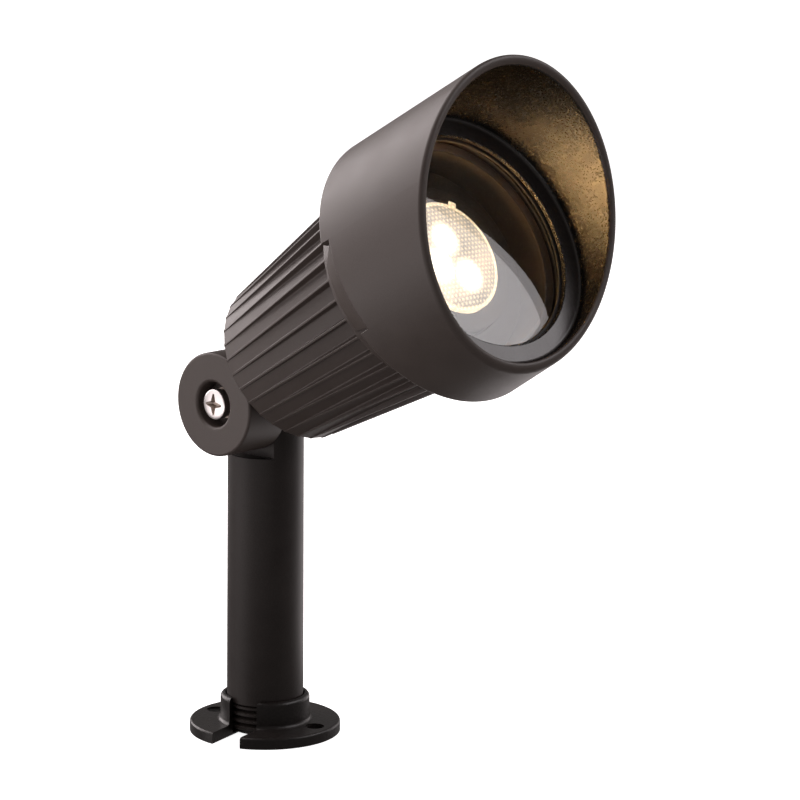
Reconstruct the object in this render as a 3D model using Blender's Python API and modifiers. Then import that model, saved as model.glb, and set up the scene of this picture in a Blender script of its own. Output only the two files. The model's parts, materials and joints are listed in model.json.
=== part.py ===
"""Garden spotlight: finned tilting head with a slanted hood, half-lap knuckle, short post and floor flange.

The post stands on the Z axis with its flange on the ground plane. The head points towards +X. Head pieces are
modelled round the head's own axis, with local +Z forwards, local +X down and zero at the tilt pivot.
"""

import math

import bmesh
import bpy
from mathutils import Matrix, Vector

mm = 0.001
GAP = 0.3 * mm

# Floor flange
FLANGE_RADIUS = 25.5 * mm
FLANGE_THICKNESS = 3.8 * mm
FLANGE_EDGE = 0.9 * mm
FLANGE_TURN = math.radians(14)
BOSS_RADIUS = 15.1 * mm
BOSS_TOP = 13.0 * mm
BOSS_BORE = 13.25 * mm
BOSS_ROUND = 1.4 * mm
CABLE_SLOT_WIDTH = 10.7 * mm
FLANGE_HOLE_RADIUS = 2.7 * mm
FLANGE_HOLE_CIRCLE = 19.6 * mm
FLANGE_HOLE_SINK = 0.5 * mm

# Post, with its threaded foot and its tongue
POST_RADIUS = 12.7 * mm
POST_FOOT_RADIUS = 12.95 * mm
POST_BOTTOM = 0.9 * mm
POST_BORE = 9.3 * mm
POST_BORE_TOP = 91.5 * mm
THREAD_TOP = 11.2 * mm
THREAD_PITCH = 2.35 * mm
THREAD_CRESTS = 4
THREAD_CREST_SHARE = 0.15
THREAD_CREST_RADIUS = 12.8 * mm
THREAD_ROOT_RADIUS = 11.5 * mm
SHOULDER_HEIGHT = 96.2 * mm
INLET_BORE = 3.5 * mm
INLET_TOP = 7.0 * mm

# Tilt pivot: distances along the pivot are measured from the middle plane towards the screw's head
PIVOT_HEIGHT = 115.6 * mm
LAP_PLANE = 7.0 * mm
TONGUE_RADIUS = 13.1 * mm
TONGUE_DISC_RADIUS = 15.0 * mm
TONGUE_DISC_BACK = -4.0 * mm
PIVOT_HOLE = 2.9 * mm
SEAL_CIRCLE = 12.9 * mm
SEAL_THICKNESS = 1.2 * mm
SEAL_GROOVE_WIDTH = 2.2 * mm
CABLE_HOLE = 2.6 * mm
CABLE_HOLE_DROP = 8.2 * mm
UPPER_BORE = 4.6 * mm
UPPER_BORE_OFFSET = 1.5 * mm
EAR_RADIUS = 17.3 * mm
EAR_FACE = 24.5 * mm
EAR_FILLET = 0.9 * mm
COUNTERBORE = 7.5 * mm
COUNTERBORE_FLOOR = 18.0 * mm
CHAMBER_INNER = 5.5 * mm
CHAMBER_OUTER = 10.8 * mm
CHAMBER_FLOOR = 14.0 * mm
SCREW_RADIUS = 2.5 * mm
SCREW_HEAD_RADIUS = 5.0 * mm
SCREW_HEAD_TOP = 24.4 * mm
SCREW_HEAD_HEIGHT = 3.4 * mm
CROSS_SLOT_LENGTH = 6.8 * mm
CROSS_SLOT_WIDTH = 1.2 * mm
CROSS_SLOT_DEPTH = 1.6 * mm
WASHER_RADIUS = 5.2 * mm
WASHER_THICKNESS = 0.9 * mm
SPRING_WASHER_RADIUS = 4.6 * mm
SPRING_WASHER_THICKNESS = 1.2 * mm
NUT_SIDES = 6
NUT_WIDTH = 8.0 * mm
NUT_BACK = -11.4 * mm
NUT_FRONT = -7.6 * mm

# Head axis
HEAD_TILT = math.radians(31.3)
HEAD_RISE = 5.1 * mm

# Finned housing: stations along the head axis
HOUSING_REAR = 16.8 * mm
HOUSING_REAR_RADIUS = 28.0 * mm
HOUSING_TAPER = 0.125
HOUSING_WALL_REAR = 21.3 * mm
HOUSING_BORE_REAR = 22.6 * mm
HOUSING_BORE_FRONT = 31.9 * mm
HOUSING_EDGE = 0.8 * mm
COLLAR_FRONT = 92.6 * mm
HOUSING_FLANGE_RADIUS = 42.4 * mm
HOUSING_FLANGE_FRONT = 97.0 * mm
SPIGOT_RADIUS = 37.4 * mm
SPIGOT_BORE = 33.8 * mm
SPIGOT_FRONT = 105.0 * mm
RING_SEAT_RADIUS = 35.6 * mm
RING_SEAT_REAR = 100.6 * mm
RING_SEAT_FRONT = 103.2 * mm
FINS = 33
FIN_FRONT = 80.8 * mm
FIN_FRONT_HEIGHT = 2.8 * mm
FIN_REAR_HEIGHT = 0.25 * mm
FIN_THICKNESS = 0.8 * mm
FIN_DRAFT = 0.09
KEY_HALF_WIDTH = 15.0 * mm
KEY_RADIUS = 45.3 * mm
KEY_REAR = 82.0 * mm
KEY_DROP = math.radians(2.5)
NECK_TOP = -13.0 * mm
NECK_BOTTOM = 9.0 * mm
NECK_RECESS = 4.0 * mm

# Hood
HOOD_REAR = 91.8 * mm
HOOD_REAR_RADIUS = 46.36 * mm
HOOD_TAPER = 0.0247
HOOD_BLANK_FRONT = 158.0 * mm
HOOD_WALL = 3.2 * mm
HOOD_EDGE = 1.0 * mm
SKIRT_BORE = 43.2 * mm
HOOD_SHOULDER = 97.4 * mm
HOOD_BORE = 38.7 * mm
LIP_REAR = 111.1 * mm
LIP_FRONT = 113.9 * mm
LIP_RADIUS = 36.1 * mm
LIP_FILLET = 1.3 * mm
SNAP_SEAT_RADIUS = 39.7 * mm
SNAP_SEAT_REAR = 103.7 * mm
SNAP_SEAT_FRONT = 105.3 * mm
RIM_CENTRE = 135.1 * mm
RIM_SLANT = 0.441
NOTCH_DEPTH = 3.6 * mm
NOTCH_CLEARANCE = 0.5 * mm

# Glass and its rings
GLASS_RADIUS = 38.4 * mm
GLASS_REAR = 105.9 * mm
GLASS_FRONT = 109.7 * mm
GASKET_BORE = 35.2 * mm
SNAP_RING_BORE = 37.8 * mm
O_RING_THICKNESS = 2.2 * mm

# Lamp and its holder
LENS_RADIUS = 18.95 * mm
LENS_REAR = 95.1 * mm
LENS_EDGE = 98.8 * mm
LENS_CROWN = 100.5 * mm
LENS_TAB = 1.8 * mm
LAMP_TURN = math.radians(151)
BEZEL_RADIUS = 24.9 * mm
BEZEL_REAR = 94.5 * mm
BEZEL_FRONT = 98.3 * mm
LAMP_RADIUS = 24.4 * mm
LAMP_FRONT = 94.2 * mm
LAMP_RIM = 4.0 * mm
LAMP_POCKET_RADIUS = 20.0 * mm
LAMP_POCKET_FLOOR = 89.6 * mm
LAMP_WAIST = 66.0 * mm
LAMP_WAIST_RADIUS = 13.0 * mm
LAMP_BASE_TOP = 62.0 * mm
LAMP_BASE_RADIUS = 9.0 * mm
LAMP_BASE = 55.0 * mm
BOARD_RADIUS = 19.4 * mm
BOARD_THICKNESS = 1.6 * mm
CHIP_SIZE = 4.2 * mm
CHIP_HEIGHT = 1.1 * mm
CHIP_CIRCLE = 7.5 * mm
CHIPS = 3
PIN_RADIUS = 0.75 * mm
PIN_SPACING = 5.3 * mm
PIN_END = 48.0 * mm
HOLDER_RADIUS = 9.5 * mm
HOLDER_REAR = 42.0 * mm
PIN_SOCKET = 1.1 * mm
TRIM_REAR = 92.6 * mm
TRIM_THICKNESS = 1.2 * mm
TRIM_BORE = 25.4 * mm
TRIM_RADIUS = 33.0 * mm
TRIM_SEAT = 92.2 * mm
TRIM_SEAT_RADIUS = 33.4 * mm

# Bracket and small screws
BRACKET_THICKNESS = 1.5 * mm
BRACKET_WIDTH = 10.0 * mm
BRACKET_LEG = 11.0 * mm
BRACKET_FOOT = 18.5 * mm
BRACKET_TOP = 40.7 * mm
BRACKET_SCREW_OFFSET = 15.0 * mm
HOLDER_SCREW_OFFSET = 6.0 * mm
SMALL_SCREW_RADIUS = 1.4 * mm
SMALL_SCREW_HEAD_RADIUS = 2.8 * mm
SMALL_SCREW_HEAD_HEIGHT = 2.0 * mm
SMALL_SCREW_HOLE = 1.75 * mm
SMALL_SCREW_LENGTH = 5.4 * mm

# Cable grommet in the housing's rear wall
GROMMET_OFFSET = 10.6 * mm
GROMMET_HOLE = 3.4 * mm
GROMMET_FLANGE = 5.0 * mm
GROMMET_BORE = 2.2 * mm
GROMMET_RIM = 1.5 * mm

# Small roundings
FINE_EDGE = 0.5 * mm
SOFT_EDGE = 0.8 * mm
PAN_EDGE = 1.4 * mm

# Facets round the turned pieces and along their roundings
SMALL = 12
COARSE = 20
MEDIUM = 32
FINE = 48
HOOD_FACETS = 64
HOUSING_FACETS = 2 * FINS
RING_SIDES = 6
CROWN_STEPS = 5
ARC_STEP = math.radians(40)

# Length of cutters that pass right through
REACH = 60 * mm


def clear_scene():
    for item in list(bpy.data.objects):
        bpy.data.objects.remove(item, do_unlink=True)


def new_collection(name, hidden=False):
    collection = bpy.data.collections.new(name)
    collection.hide_render = hidden
    bpy.context.scene.collection.children.link(collection)
    return collection


clear_scene()
PARTS = new_collection("garden_spotlight")
CUTTERS = new_collection("cutters", hidden=True)


def material(name, colour, roughness, metallic=0.0, transmission=0.0):
    made = bpy.data.materials.new(name)
    made.use_nodes = True
    shader = made.node_tree.nodes["Principled BSDF"]
    shader.inputs["Base Color"].default_value = (*colour, 1.0)
    shader.inputs["Roughness"].default_value = roughness
    shader.inputs["Metallic"].default_value = metallic
    shader.inputs["Transmission Weight"].default_value = transmission
    made.diffuse_color = (*colour, 1.0)
    return made


COATED = material("powder_coat", (0.075, 0.068, 0.066), 0.55)
COATED_BASE = material("satin_black_coat", (0.03, 0.027, 0.026), 0.4)
STEEL = material("bright_steel", (0.72, 0.70, 0.68), 0.25, metallic=1.0)
BLACK_STEEL = material("black_steel", (0.035, 0.033, 0.032), 0.45, metallic=1.0)
RUBBER = material("black_rubber", (0.02, 0.02, 0.02), 0.8)
GLASS = material("clear_glass", (0.95, 0.97, 0.97), 0.02, transmission=1.0)
LENS = material("lamp_lens", (1.0, 0.93, 0.78), 0.2, transmission=0.4)
DARK_PLASTIC = material("dark_plastic", (0.05, 0.05, 0.05), 0.5)
HEAT_SINK = material("heat_sink", (0.35, 0.35, 0.36), 0.45, metallic=0.8)
BOARD = material("white_board", (0.85, 0.85, 0.82), 0.5)
CHIP = material("led_chip", (0.95, 0.8, 0.3), 0.4)
CERAMIC = material("ceramic", (0.82, 0.80, 0.74), 0.5)


def empty(name, parent, location, turn_y=0.0):
    made = bpy.data.objects.new(name, None)
    made.empty_display_size = 10 * mm
    made.parent = parent
    made.location = location
    made.rotation_euler = (0.0, turn_y, 0.0)
    PARTS.objects.link(made)
    return made


POST_AXIS = empty("post_axis", None, (0.0, 0.0, 0.0))
PIVOT = empty("pivot", POST_AXIS, (0.0, 0.0, PIVOT_HEIGHT))
HEAD_PIVOT = empty("head_pivot", PIVOT, (0.0, 0.0, 0.0), turn_y=math.pi / 2 - HEAD_TILT)
HEAD_AXIS = empty("head_axis", HEAD_PIVOT, (-HEAD_RISE, 0.0, 0.0))

# A turned piece on the pivot has its own Z axis pointing towards the screw's head
ALONG_PIVOT = (math.pi / 2, 0.0, 0.0)


def add_object(name, mesh, finish, parent, location=(0.0, 0.0, 0.0), rotation=(0.0, 0.0, 0.0)):
    """A part when it has a finish, a hidden cutter when it has none."""
    made = bpy.data.objects.new(name, mesh)
    made.parent = parent
    made.location = location
    made.rotation_euler = rotation
    if finish is None:
        made.hide_render = True
        made.display_type = "WIRE"
        CUTTERS.objects.link(made)
    else:
        mesh.materials.append(finish)
        PARTS.objects.link(made)
    return made


def arc_corner(before, corner, after, radius):
    """Points of the arc that rounds one corner of an outline."""
    to_before = math.atan2(before[1] - corner[1], before[0] - corner[0])
    to_after = math.atan2(after[1] - corner[1], after[0] - corner[0])
    opening = (to_after - to_before + math.pi) % (2 * math.pi) - math.pi
    middle = to_before + opening / 2
    reach = radius / math.sin(abs(opening) / 2)
    centre = (corner[0] + reach * math.cos(middle), corner[1] + reach * math.sin(middle))
    sweep = math.pi - abs(opening)
    pieces = max(2, round(sweep / ARC_STEP))
    turn = -1 if opening > 0 else 1
    first = middle + math.pi - turn * sweep / 2
    angles = [first + turn * sweep * step / pieces for step in range(pieces + 1)]
    return [(centre[0] + radius * math.cos(a), centre[1] + radius * math.sin(a)) for a in angles]


def outline(corners, closed=True):
    """Points of an outline whose corners are (radius, station) or (radius, station, fillet)."""
    points = []
    for index, corner in enumerate(corners):
        inside = closed or 0 < index < len(corners) - 1
        if len(corner) == 3 and inside:
            before = corners[index - 1]
            after = corners[(index + 1) % len(corners)]
            points += arc_corner(before, corner, after, corner[2])
        else:
            points.append((corner[0], corner[1]))
    return points


def turned(
    name, corners, facets, finish, parent, closed=True, rotation=(0.0, 0.0, 0.0), location=(0.0, 0.0, 0.0)
):
    """A piece turned round its own Z axis. The outline runs down its outer side."""
    points = outline(corners, closed)
    edges = [(i, i + 1) for i in range(len(points) - 1)]
    if closed:
        edges.append((len(points) - 1, 0))
    mesh = bpy.data.meshes.new(name)
    mesh.from_pydata([(radius, 0.0, station) for radius, station in points], edges, [])
    made = add_object(name, mesh, finish, parent, location, rotation)
    screw = made.modifiers.new("turn", "SCREW")
    screw.steps = facets
    screw.render_steps = facets
    screw.use_smooth_shade = True
    screw.use_merge_vertices = True
    screw.merge_threshold = 0.00001
    return made


def ring(name, bore, radius, rear, front, facets, finish, parent, rotation=(0.0, 0.0, 0.0), fillet=None):
    """A turned ring of rectangular section, with rounded outer edges where a fillet is given."""
    edge = () if fillet is None else (fillet,)
    corners = [(radius, front, *edge), (radius, rear, *edge), (bore, rear), (bore, front)]
    return turned(name, corners, facets, finish, parent, rotation=rotation)


def round_ring(name, circle, thickness, station, facets, finish, parent, rotation=(0.0, 0.0, 0.0)):
    """A turned ring of round section."""
    angles = [-2 * math.pi * side / RING_SIDES for side in range(RING_SIDES)]
    half = thickness / 2
    corners = [(circle + half * math.cos(a), station + half * math.sin(a)) for a in angles]
    return turned(name, corners, facets, finish, parent, rotation=rotation)


def rod(name, radius, start, end, facets, finish, parent, location=(0.0, 0.0), rotation=(0.0, 0.0, 0.0)):
    """A plain cylinder on its own Z axis, from one station to another."""
    shape = bmesh.new()
    place = Matrix.Translation((location[0], location[1], (start + end) / 2))
    bmesh.ops.create_cone(
        shape, cap_ends=True, segments=facets, radius1=radius, radius2=radius, depth=end - start, matrix=place
    )
    mesh = bpy.data.meshes.new(name)
    shape.to_mesh(mesh)
    shape.free()
    return add_object(name, mesh, finish, parent, rotation=rotation)


def block(name, low, high, finish, parent, rotation=(0.0, 0.0, 0.0)):
    """A box between two corners."""
    middle = [(a + b) / 2 for a, b in zip(low, high)]
    size = [b - a for a, b in zip(low, high)]
    shape = bmesh.new()
    bmesh.ops.create_cube(shape, size=1.0, matrix=Matrix.Translation(middle) @ Matrix.Diagonal((*size, 1.0)))
    mesh = bpy.data.meshes.new(name)
    shape.to_mesh(mesh)
    shape.free()
    return add_object(name, mesh, finish, parent, rotation=rotation)


def combine(target, other, operation="DIFFERENCE"):
    boolean = target.modifiers.new(other.name, "BOOLEAN")
    boolean.object = other
    boolean.operation = operation
    boolean.solver = "EXACT"


def make_base_flange():
    top = FLANGE_THICKNESS
    corners = [
        (BOSS_RADIUS, BOSS_TOP, BOSS_ROUND),
        (BOSS_RADIUS, top, BOSS_ROUND),
        (FLANGE_RADIUS, top, FLANGE_EDGE),
        (FLANGE_RADIUS, 0.0),
        (BOSS_BORE, 0.0),
        (BOSS_BORE, BOSS_TOP),
    ]
    flange = turned("base_flange", corners, FINE, COATED_BASE, None, rotation=(0.0, 0.0, FLANGE_TURN))
    half = CABLE_SLOT_WIDTH / 2
    low = (-half, -REACH, -REACH)
    slot = block("cable_slot", low, (half, -BOSS_BORE / 2, REACH), None, flange)
    combine(flange, slot)
    for side, label in ((1, "right"), (-1, "left")):
        spot = (side * FLANGE_HOLE_CIRCLE, 0.0)
        hole = rod(f"flange_hole_{label}", FLANGE_HOLE_RADIUS, -REACH, REACH, COARSE, None, flange, spot)
        combine(flange, hole)
        wide = FLANGE_HOLE_RADIUS + FLANGE_HOLE_SINK
        sink = rod(f"flange_sink_{label}", wide, top - FLANGE_HOLE_SINK, REACH, COARSE, None, flange, spot)
        combine(flange, sink)


def thread_outline():
    """The foot's thread ridges, from the top one down to the foot's end."""
    corners = []
    for crest in range(THREAD_CRESTS):
        middle = THREAD_TOP - THREAD_PITCH * (crest + 0.5)
        corners.append((THREAD_ROOT_RADIUS, middle + 0.5 * THREAD_PITCH))
        corners.append((THREAD_CREST_RADIUS, middle + THREAD_CREST_SHARE * THREAD_PITCH))
        corners.append((THREAD_CREST_RADIUS, middle - THREAD_CREST_SHARE * THREAD_PITCH))
    corners.append((THREAD_ROOT_RADIUS, THREAD_TOP - THREAD_PITCH * THREAD_CRESTS))
    return corners


def make_post():
    top = PIVOT_HEIGHT + TONGUE_RADIUS + mm
    corners = [(0.0, top), (POST_RADIUS, top), (POST_FOOT_RADIUS, BOSS_TOP), (POST_FOOT_RADIUS, THREAD_TOP)]
    corners += thread_outline()
    corners += [(THREAD_ROOT_RADIUS, POST_BOTTOM), (POST_BORE, POST_BOTTOM), (POST_BORE, POST_BORE_TOP)]
    corners.append((0.0, POST_BORE_TOP))
    post = turned("post", corners, FINE, COATED_BASE, POST_AXIS, closed=False)

    above = block("above_pivot", (-REACH, -REACH, 0.0), (REACH, REACH, REACH), None, PIVOT)
    keep = rod("tongue_round", TONGUE_RADIUS, -2 * REACH, 2 * REACH, FINE, None, PIVOT, rotation=ALONG_PIVOT)
    combine(above, keep)
    combine(post, above)
    lap_face = LAP_PLANE - GAP / 2
    disc_front = lap_face + mm
    disc = rod(
        "tongue_disc", TONGUE_DISC_RADIUS, TONGUE_DISC_BACK, disc_front, FINE, None, PIVOT,
        rotation=ALONG_PIVOT,
    )
    combine(post, disc, "UNION")
    lap = block("lap_cut", (-REACH, -REACH, SHOULDER_HEIGHT), (REACH, -lap_face, 4 * REACH), None, POST_AXIS)
    combine(post, lap)

    inner = SEAL_CIRCLE - SEAL_GROOVE_WIDTH / 2
    outer = SEAL_CIRCLE + SEAL_GROOVE_WIDTH / 2
    groove_floor = lap_face - SEAL_THICKNESS - GAP / 2
    seal_groove = ring(
        "seal_groove", inner, outer, groove_floor, REACH, FINE, None, PIVOT, rotation=ALONG_PIVOT
    )
    combine(post, seal_groove)
    hole = rod("post_pivot_hole", PIVOT_HOLE, -REACH, REACH, COARSE, None, PIVOT, rotation=ALONG_PIVOT)
    combine(post, hole)
    pocket_radius = (NUT_WIDTH / 2 + GAP) / math.cos(math.pi / NUT_SIDES)
    floor = NUT_FRONT + GAP
    pocket = rod("nut_pocket", pocket_radius, -REACH, floor, NUT_SIDES, None, PIVOT, rotation=ALONG_PIVOT)
    combine(post, pocket)
    bore_top = PIVOT_HEIGHT - CABLE_HOLE_DROP + CABLE_HOLE
    upper = rod(
        "upper_bore", UPPER_BORE, POST_BORE_TOP - UPPER_BORE, bore_top, COARSE, None, POST_AXIS,
        (0.0, UPPER_BORE_OFFSET),
    )
    combine(post, upper)
    spot = (0.0, -CABLE_HOLE_DROP)
    cross = rod("cable_hole", CABLE_HOLE, -UPPER_BORE_OFFSET, REACH, COARSE, None, PIVOT, spot, ALONG_PIVOT)
    combine(post, cross)


def make_post_grommet():
    corners = [
        (POST_BORE - GAP, INLET_TOP, SOFT_EDGE),
        (POST_BORE - GAP, POST_BOTTOM),
        (INLET_BORE, POST_BOTTOM),
        (INLET_BORE, INLET_TOP, SOFT_EDGE),
    ]
    turned("post_grommet", corners, COARSE, RUBBER, POST_AXIS)


def make_pivot_fastener():
    head_rear = SCREW_HEAD_TOP - SCREW_HEAD_HEIGHT
    corners = [
        (0.0, SCREW_HEAD_TOP),
        (SCREW_HEAD_RADIUS, SCREW_HEAD_TOP, PAN_EDGE),
        (SCREW_HEAD_RADIUS, head_rear),
        (SCREW_RADIUS, head_rear),
        (SCREW_RADIUS, NUT_BACK, FINE_EDGE),
        (0.0, NUT_BACK),
    ]
    screw = turned("pivot_screw", corners, MEDIUM, STEEL, PIVOT, closed=False, rotation=ALONG_PIVOT)
    floor = SCREW_HEAD_TOP - CROSS_SLOT_DEPTH
    long, narrow = CROSS_SLOT_LENGTH / 2, CROSS_SLOT_WIDTH / 2
    for name, across, up in (("wide", long, narrow), ("tall", narrow, long)):
        slot = block(
            f"cross_slot_{name}", (-across, -up, floor), (across, up, REACH), None, PIVOT,
            rotation=ALONG_PIVOT,
        )
        combine(screw, slot)

    bore = SCREW_RADIUS + GAP
    washer_top = COUNTERBORE_FLOOR + GAP + WASHER_THICKNESS
    ring(
        "pivot_washer", bore, WASHER_RADIUS, COUNTERBORE_FLOOR + GAP, washer_top, MEDIUM, STEEL, PIVOT,
        rotation=ALONG_PIVOT,
    )
    spring_rear = washer_top + GAP
    spring = ring(
        "pivot_spring_washer", bore, SPRING_WASHER_RADIUS, spring_rear, spring_rear + SPRING_WASHER_THICKNESS,
        MEDIUM, STEEL, PIVOT, rotation=ALONG_PIVOT,
    )
    split = block("spring_split", (0.0, -GAP, 0.0), (REACH, GAP, REACH), None, PIVOT, rotation=ALONG_PIVOT)
    combine(spring, split)
    nut_radius = NUT_WIDTH / 2 / math.cos(math.pi / NUT_SIDES)
    nut = rod("pivot_nut", nut_radius, NUT_BACK, NUT_FRONT, NUT_SIDES, STEEL, PIVOT, rotation=ALONG_PIVOT)
    tapped = rod("nut_bore", bore, -REACH, REACH, COARSE, None, PIVOT, rotation=ALONG_PIVOT)
    combine(nut, tapped)


def make_knuckle_seal():
    station = LAP_PLANE - GAP / 2 - SEAL_THICKNESS / 2
    round_ring("knuckle_seal", SEAL_CIRCLE, SEAL_THICKNESS, station, MEDIUM, RUBBER, PIVOT, ALONG_PIVOT)


def housing_radius(station):
    return HOUSING_REAR_RADIUS + HOUSING_TAPER * (station - HOUSING_REAR)


def floor_radius(station):
    """Distance from the head axis to the flat floors between the fins, which get lower towards the front."""
    share = (station - HOUSING_REAR) / (FIN_FRONT - HOUSING_REAR)
    return housing_radius(station) - FIN_REAR_HEIGHT - share * (FIN_FRONT_HEIGHT - FIN_REAR_HEIGHT)


def fin_gap_cutter():
    """All the gaps between the fins as one cutter: flat-floored wedges. One fin lies along the head's underside."""
    start = HOUSING_REAR - 2 * FIN_FRONT_HEIGHT
    half_pitch = math.pi / FINS
    shape = bmesh.new()
    for index in range(FINS):
        turn = Matrix.Rotation((2 * index + 1) * half_pitch, 4, "Z")
        layers = []
        for height in (0.0, 2 * FIN_FRONT_HEIGHT):
            layer = []
            for station, side in ((start, -1), (FIN_FRONT, -1), (FIN_FRONT, 1), (start, 1)):
                radius = floor_radius(station) + height
                fin = FIN_THICKNESS + 2 * FIN_DRAFT * (housing_radius(station) - radius)
                across = side * (radius * math.tan(half_pitch) - fin / 2)
                layer.append(shape.verts.new(turn @ Vector((radius, across, station))))
            layers.append(layer)
        floor = shape.faces.new(layers[0])
        roof = shape.faces.new(layers[1])
        bmesh.ops.bridge_loops(shape, edges=list(floor.edges) + list(roof.edges))
    bmesh.ops.recalc_face_normals(shape, faces=shape.faces)
    mesh = bpy.data.meshes.new("fin_gaps")
    shape.to_mesh(mesh)
    shape.free()
    return add_object("fin_gaps", mesh, None, HEAD_AXIS)


def add_keys(housing):
    """The two keys: ramps on the collar that rise to the hood's notches."""
    front = HOOD_REAR + NOTCH_DEPTH - GAP
    corners = [
        (KEY_RADIUS, front),
        (housing_radius(KEY_REAR), KEY_REAR),
        (RING_SEAT_RADIUS, KEY_REAR),
        (RING_SEAT_RADIUS, front),
    ]
    half = KEY_HALF_WIDTH
    for side, label in ((1, "right"), (-1, "left")):
        key = turned(f"key_{label}", corners, HOUSING_FACETS, None, HEAD_AXIS)
        ends = sorted((side * HOUSING_BORE_REAR, side * REACH))
        low, high = (-half, ends[0], 0.0), (half, ends[1], 3 * REACH)
        span = block(f"key_span_{label}", low, high, None, HEAD_AXIS, rotation=(0.0, 0.0, -side * KEY_DROP))
        combine(key, span, "INTERSECT")
        combine(housing, key, "UNION")


def make_housing():
    corners = [
        (0.0, HOUSING_WALL_REAR),
        (HOUSING_BORE_REAR, HOUSING_WALL_REAR),
        (HOUSING_BORE_FRONT, TRIM_SEAT),
        (TRIM_SEAT_RADIUS, TRIM_SEAT),
        (SPIGOT_BORE, SPIGOT_FRONT),
        (SPIGOT_RADIUS, SPIGOT_FRONT),
        (SPIGOT_RADIUS, RING_SEAT_FRONT),
        (RING_SEAT_RADIUS, RING_SEAT_FRONT),
        (RING_SEAT_RADIUS, RING_SEAT_REAR),
        (SPIGOT_RADIUS, RING_SEAT_REAR),
        (SPIGOT_RADIUS, HOUSING_FLANGE_FRONT),
        (HOUSING_FLANGE_RADIUS, HOUSING_FLANGE_FRONT),
        (HOUSING_FLANGE_RADIUS, COLLAR_FRONT),
        (housing_radius(COLLAR_FRONT), COLLAR_FRONT),
        (HOUSING_REAR_RADIUS, HOUSING_REAR, HOUSING_EDGE),
        (0.0, HOUSING_REAR),
    ]
    housing = turned("housing", corners, HOUSING_FACETS, COATED, HEAD_AXIS, closed=False)
    combine(housing, fin_gap_cutter())
    add_keys(housing)

    ear_corners = [
        (EAR_RADIUS, EAR_FACE, EAR_FILLET),
        (EAR_RADIUS, LAP_PLANE + GAP / 2),
        (CHAMBER_OUTER, LAP_PLANE + GAP / 2),
        (CHAMBER_OUTER, CHAMBER_FLOOR),
        (CHAMBER_INNER, CHAMBER_FLOOR),
        (CHAMBER_INNER, LAP_PLANE + GAP / 2),
        (PIVOT_HOLE, LAP_PLANE + GAP / 2),
        (PIVOT_HOLE, COUNTERBORE_FLOOR),
        (COUNTERBORE, COUNTERBORE_FLOOR),
        (COUNTERBORE, EAR_FACE, FINE_EDGE),
    ]
    ear = turned("ear", ear_corners, FINE, None, HEAD_PIVOT, rotation=ALONG_PIVOT)
    neck_low = (NECK_TOP, -EAR_FACE + NECK_RECESS, CHAMBER_OUTER + GAP)
    neck_high = (NECK_BOTTOM, -LAP_PLANE - 2 * GAP, HOUSING_WALL_REAR - mm)
    neck = block("neck", neck_low, neck_high, None, HEAD_PIVOT)
    combine(ear, neck, "UNION")
    combine(housing, ear, "UNION")

    way_in = (CHAMBER_INNER + CHAMBER_OUTER) / 2
    spot = (0.0, -GROMMET_OFFSET)
    entry = rod("cable_entry", GROMMET_HOLE, way_in, HOUSING_WALL_REAR + mm, COARSE, None, HEAD_PIVOT, spot)
    combine(housing, entry)
    for side in (1, -1):
        spot = (side * BRACKET_SCREW_OFFSET, 0.0)
        tapped = rod(
            f"wall_hole_{side}", SMALL_SCREW_HOLE, HOUSING_REAR + mm, HOUSING_WALL_REAR + mm, SMALL, None,
            HEAD_AXIS, spot,
        )
        combine(housing, tapped)


def make_cable_grommet():
    seat = HOUSING_WALL_REAR + GAP
    front = seat + GROMMET_RIM
    corners = [
        (GROMMET_FLANGE, front, FINE_EDGE),
        (GROMMET_FLANGE, seat),
        (GROMMET_HOLE - GAP, seat),
        (GROMMET_HOLE - GAP, HOUSING_REAR + mm),
        (GROMMET_BORE, HOUSING_REAR + mm),
        (GROMMET_BORE, front),
    ]
    turned("cable_grommet", corners, COARSE, RUBBER, HEAD_PIVOT, location=(0.0, -GROMMET_OFFSET, 0.0))


def hood_radius(station):
    return HOOD_REAR_RADIUS - HOOD_TAPER * (station - HOOD_REAR)


def make_hood():
    corners = [
        (hood_radius(HOOD_BLANK_FRONT), HOOD_BLANK_FRONT),
        (HOOD_REAR_RADIUS, HOOD_REAR, HOOD_EDGE),
        (SKIRT_BORE, HOOD_REAR),
        (SKIRT_BORE, HOOD_SHOULDER),
        (HOOD_BORE, HOOD_SHOULDER),
        (HOOD_BORE, SNAP_SEAT_REAR),
        (SNAP_SEAT_RADIUS, SNAP_SEAT_REAR),
        (SNAP_SEAT_RADIUS, SNAP_SEAT_FRONT),
        (HOOD_BORE, SNAP_SEAT_FRONT),
        (HOOD_BORE, LIP_REAR),
        (LIP_RADIUS, LIP_REAR),
        (LIP_RADIUS, LIP_FRONT),
        (hood_radius(LIP_FRONT) - HOOD_WALL, LIP_FRONT, LIP_FILLET),
        (hood_radius(HOOD_BLANK_FRONT) - HOOD_WALL, HOOD_BLANK_FRONT),
    ]
    hood = turned("hood", corners, HOOD_FACETS, COATED, HEAD_AXIS)
    slant = block("rim_slant", (-REACH, -REACH, 0.0), (REACH, REACH, REACH), None, HEAD_AXIS)
    slant.location = (0.0, 0.0, RIM_CENTRE)
    slant.rotation_euler = (0.0, math.atan(RIM_SLANT), 0.0)
    combine(hood, slant)
    half = KEY_HALF_WIDTH + NOTCH_CLEARANCE
    for side, label in ((1, "right"), (-1, "left")):
        ends = sorted((side * HOUSING_BORE_FRONT, side * REACH))
        low, high = (-half, ends[0], 0.0), (half, ends[1], HOOD_REAR + NOTCH_DEPTH)
        notch = block(f"notch_{label}", low, high, None, HEAD_AXIS, rotation=(0.0, 0.0, -side * KEY_DROP))
        combine(hood, notch)


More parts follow.
